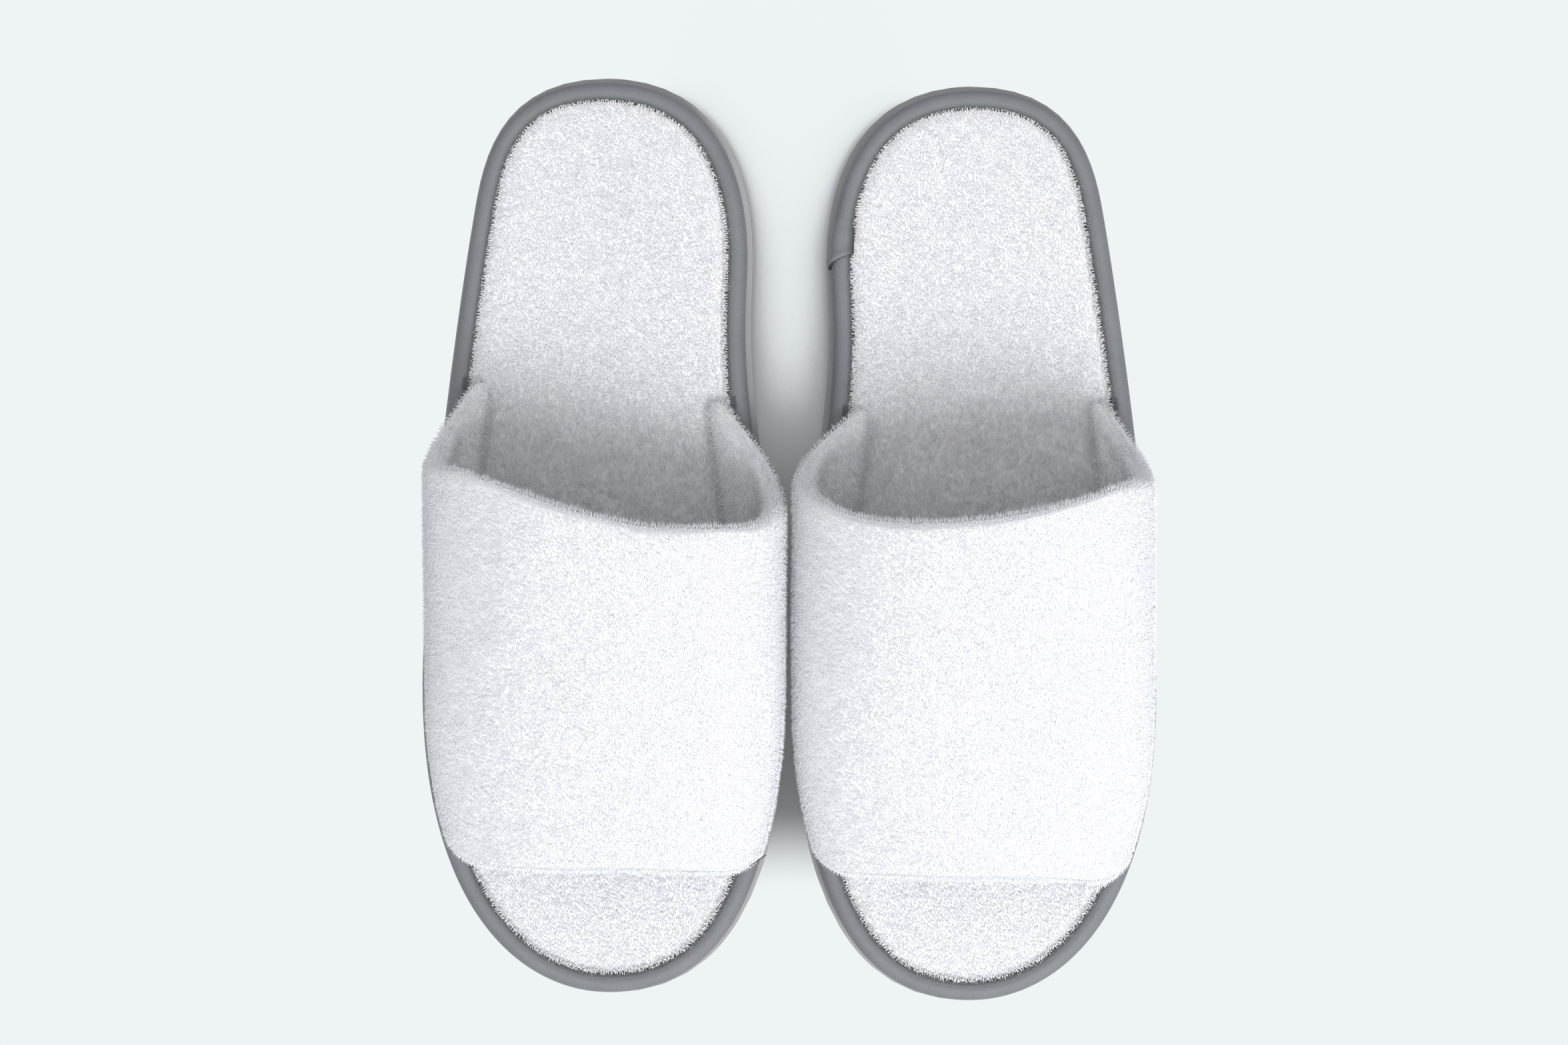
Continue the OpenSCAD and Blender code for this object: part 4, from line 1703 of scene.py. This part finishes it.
class BindingSettings(bpy.types.PropertyGroup):
    rib_spacing: length_property(
        "Rib spacing", "Distance between the woven ribs of the tape", 0.5, 0.3, 2
    )
    rib_height: length_property("Rib height", "How proud a rib stands", 0.09, 0, 0.3)
    stitch_length: length_property(
        "Stitch length", "Length of a stitch of the seam", 3, 1, 6
    )
    crown_color: color_property("Crown", "Tape colour on its outer crown", (0.2, 0.214, 0.23))
    # Painted shade in the crevice along the tape's inner edge.
    inner_crevice_shade: color_property(
        "Inner band", "Tape colour along its inner edge", (0.055, 0.055, 0.06)
    )
    thread_color: color_property("Thread", "Colour of the thread", (0.17, 0.18, 0.193))


class VampSettings(bpy.types.PropertyGroup):
    heel_bare: length_property(
        "Bare heel", "Footbed behind the lowest point of the throat", 139, 100, 180
    )
    toe_bare: length_property("Bare toe", "Footbed in front of the vamp", 40, 20, 70)
    wing_out: length_property(
        "Outer wing", "How far the outer wing reaches back past the throat", 45, 0, 80
    )
    wing_in: length_property(
        "Inner wing", "How far the inner wing reaches back past the throat", 39, 0, 80
    )
    toe_corner: length_property(
        "Toe corners", "How far the toe edge is drawn back at its corners", 4.5, 0, 20
    )
    throat_rise: length_property(
        "Throat height", "Height of the throat above the floor", 62, 40, 90
    )
    toe_rise: length_property(
        "Toe edge height", "Height of the toe edge above the floor", 42, 30, 70
    )
    half_out: length_property(
        "Outer half width", "Greatest half width on the outer side", 55, 40, 70
    )
    half_in: length_property(
        "Inner half width", "Greatest half width on the inner side", 57.4, 40, 70
    )
    crest_in: length_property(
        "Crest offset", "How far the crest lies to the inner side", 5, 0, 20
    )
    thickness: length_property(
        "Thickness", "Thickness of terry, foam and lining together", 8, 4, 12
    )
    pressure: number_property(
        "Padding pressure", "Pressure of the padding while the vamp is swollen", 4, 0, 20
    )
    swell_cap: length_property(
        "Swelling limit", "How far the padding may move a point", 0.9, 0, 5
    )


class PileSettings(bpy.types.PropertyGroup):
    spacing: length_property(
        "Spacing", "Distance between strands of the pile", 0.62, 0.4, 4
    )
    strand_width: length_property("Strand width", "Width of a strand", 0.38, 0.1, 1.5)
    vamp_length: length_property("Vamp pile", "Length of the pile on the vamp", 1.7, 0.5, 4)
    lining_length: length_property(
        "Lining pile", "Length of the pile on the lining", 1.6, 0.5, 4
    )
    sole_length: length_property(
        "Footbed pile", "Length of the pile on the footbed", 1.8, 0.5, 4
    )
    fringe_length: length_property(
        "Fringe", "Length of the fringe over the tape", 3, 0.5, 6
    )
    tuft_size: length_property(
        "Tuft size", "Size of the tufts that strands clump into", 2.2, 0.5, 10
    )
    unruliness: number_property("Unruliness", "How far strands stray from the nap", 0.24, 0, 2)
    tip_color: color_property("Tips", "Pile colour at its tips", (0.96, 0.957, 0.985))
    # Painted shade at the pile's roots; the ground's random patches use it too.
    root_shade_and_patch_color: color_property("Roots", "Pile colour at its roots", (0.86, 0.857, 0.89))


class StageSettings(bpy.types.PropertyGroup):
    floor_color: color_property("Floor", "Colour of the floor", (0.855, 0.896, 0.922))
    # Where the floor's painted shade falls between the slippers, and how near they must be to
    # darken it.
    gap_half: length_property(
        "Shaded gap", "How far from the middle the floor takes shade", 44, 5, 200
    )
    gap_end: length_property(
        "Gap end", "How far towards the toes the floor takes shade", 98, 5, 200
    )
    gap_reach: length_property(
        "Shade reach", "How near the slippers shade the floor between them", 75, 5, 500
    )
    sky_color: color_property("Sky", "Colour of the soft light all round", (0.985, 0.99, 1.0))
    sky_strength: number_property(
        "Sky strength", "Strength of the soft light all round", 0.7, 0, 5
    )
    lamp_power: number_property(
        "Softbox power", "Power of the softbox at the toe end", 29, 0, 200, "POWER"
    )
    lamp_height: number_property(
        "Softbox height", "Angle of the softbox above the floor, in degrees", 45, 5, 90
    )
    lamp_side: number_property(
        "Softbox side",
        "Angle of the softbox round from the toes to the left slipper, in degrees",
        28,
        -180,
        180,
    )
    lens: number_property(
        "Focal length", "Focal length of the overhead camera", 95.6, 20, 300, "CAMERA"
    )
    camera_height: length_property(
        "Camera height", "Height of the overhead camera", 1313, 300, 4000
    )


class SLIPPERS_OT_outsoles(bpy.types.Operator):
    """Build the foam outsoles"""

    bl_idname = "slippers.outsoles"
    bl_label = "Outsoles"

    def execute(self, context):
        for foot in FEET:
            build_outsole(foot, context.scene.slipper_sole.edge_round)
        return {"FINISHED"}


class SLIPPERS_OT_cores(bpy.types.Operator):
    """Finish the glue and boards and build the cushion layers"""

    bl_idname = "slippers.cores"
    bl_label = "Sole cores"

    def execute(self, context):
        for foot in FEET:
            build_core(foot)
            build_foam(foot)
        return {"FINISHED"}


class SLIPPERS_OT_footbeds(bpy.types.Operator):
    """Build the terry covers of the footbeds with their pile"""

    bl_idname = "slippers.footbeds"
    bl_label = "Footbed terry"

    def execute(self, context):
        for foot in FEET:
            sow_cover(foot, build_cover(foot))
            sow_fringe(foot)
        return {"FINISHED"}


class SLIPPERS_OT_bindings(bpy.types.Operator):
    """Build the ribbed binding tapes and their lapped ends"""

    bl_idname = "slippers.bindings"
    bl_label = "Binding tapes"

    def execute(self, context):
        for foot in FEET:
            build_tape(foot)
            build_lap(foot)
        return {"FINISHED"}


class SLIPPERS_OT_stitching(bpy.types.Operator):
    """Build the binding seams and the tacks at the vamps' corners"""

    bl_idname = "slippers.stitching"
    bl_label = "Stitching"

    def execute(self, context):
        for foot in FEET:
            build_seam(foot)
            build_backtacks(foot)
        build_thread_end(RIGHT)
        return {"FINISHED"}


class SLIPPERS_OT_vamps(bpy.types.Operator):
    """Build the padded vamps with their pile"""

    bl_idname = "slippers.vamps"
    bl_label = "Vamps"

    def execute(self, context):
        for foot in FEET:
            vamp = build_vamp(foot)
            sow_vamp(foot, vamp)
            for name in ("zone", "root"):
                vamp.data.attributes.remove(vamp.data.attributes[name])
            finish_piece(
                vamp, foot, ["vamp_terry", "vamp_padding", "vamp_lining"]
            )
        return {"FINISHED"}


class SLIPPERS_OT_stage(bpy.types.Operator):
    """Build the floor, the soft light and the overhead camera"""

    bl_idname = "slippers.stage"
    bl_label = "Stage"

    def execute(self, context):
        looks = context.scene.slipper_stage
        build_floor(looks)
        build_lights(looks)
        build_camera(looks)
        context.scene.view_settings.view_transform = "Standard"
        return {"FINISHED"}


OPERATORS = (
    SLIPPERS_OT_outsoles,
    SLIPPERS_OT_cores,
    SLIPPERS_OT_footbeds,
    SLIPPERS_OT_bindings,
    SLIPPERS_OT_stitching,
    SLIPPERS_OT_vamps,
    SLIPPERS_OT_stage,
)


class SLIPPERS_PT_panel(bpy.types.Panel):
    """Everything of the slippers that can be set or built"""

    bl_label = "Spa slippers"
    bl_idname = "SLIPPERS_PT_panel"
    bl_space_type = "VIEW_3D"
    bl_region_type = "UI"
    bl_category = "Slippers"

    def draw(self, context):
        for name, kind in SETTINGS.items():
            box = self.layout.box()
            box.label(text=kind.__name__.removesuffix("Settings"))
            for field in kind.__annotations__:
                box.prop(getattr(context.scene, name), field)
        for kind in OPERATORS:
            self.layout.operator(kind.bl_idname)


SETTINGS = {
    "slipper_sole": SoleSettings,
    "slipper_binding": BindingSettings,
    "slipper_vamp": VampSettings,
    "slipper_pile": PileSettings,
    "slipper_stage": StageSettings,
}


def register():
    for kind in (*SETTINGS.values(), *OPERATORS, SLIPPERS_PT_panel):
        bpy.utils.register_class(kind)
    for name, kind in SETTINGS.items():
        setattr(bpy.types.Scene, name, PointerProperty(type=kind))


def unregister():
    for name in SETTINGS:
        delattr(bpy.types.Scene, name)
    for kind in reversed((*SETTINGS.values(), *OPERATORS, SLIPPERS_PT_panel)):
        bpy.utils.unregister_class(kind)


def main():
    register()
    for kind in OPERATORS:
        group, name = kind.bl_idname.split(".")
        getattr(getattr(bpy.ops, group), name)()


if __name__ == "__main__":
    main()
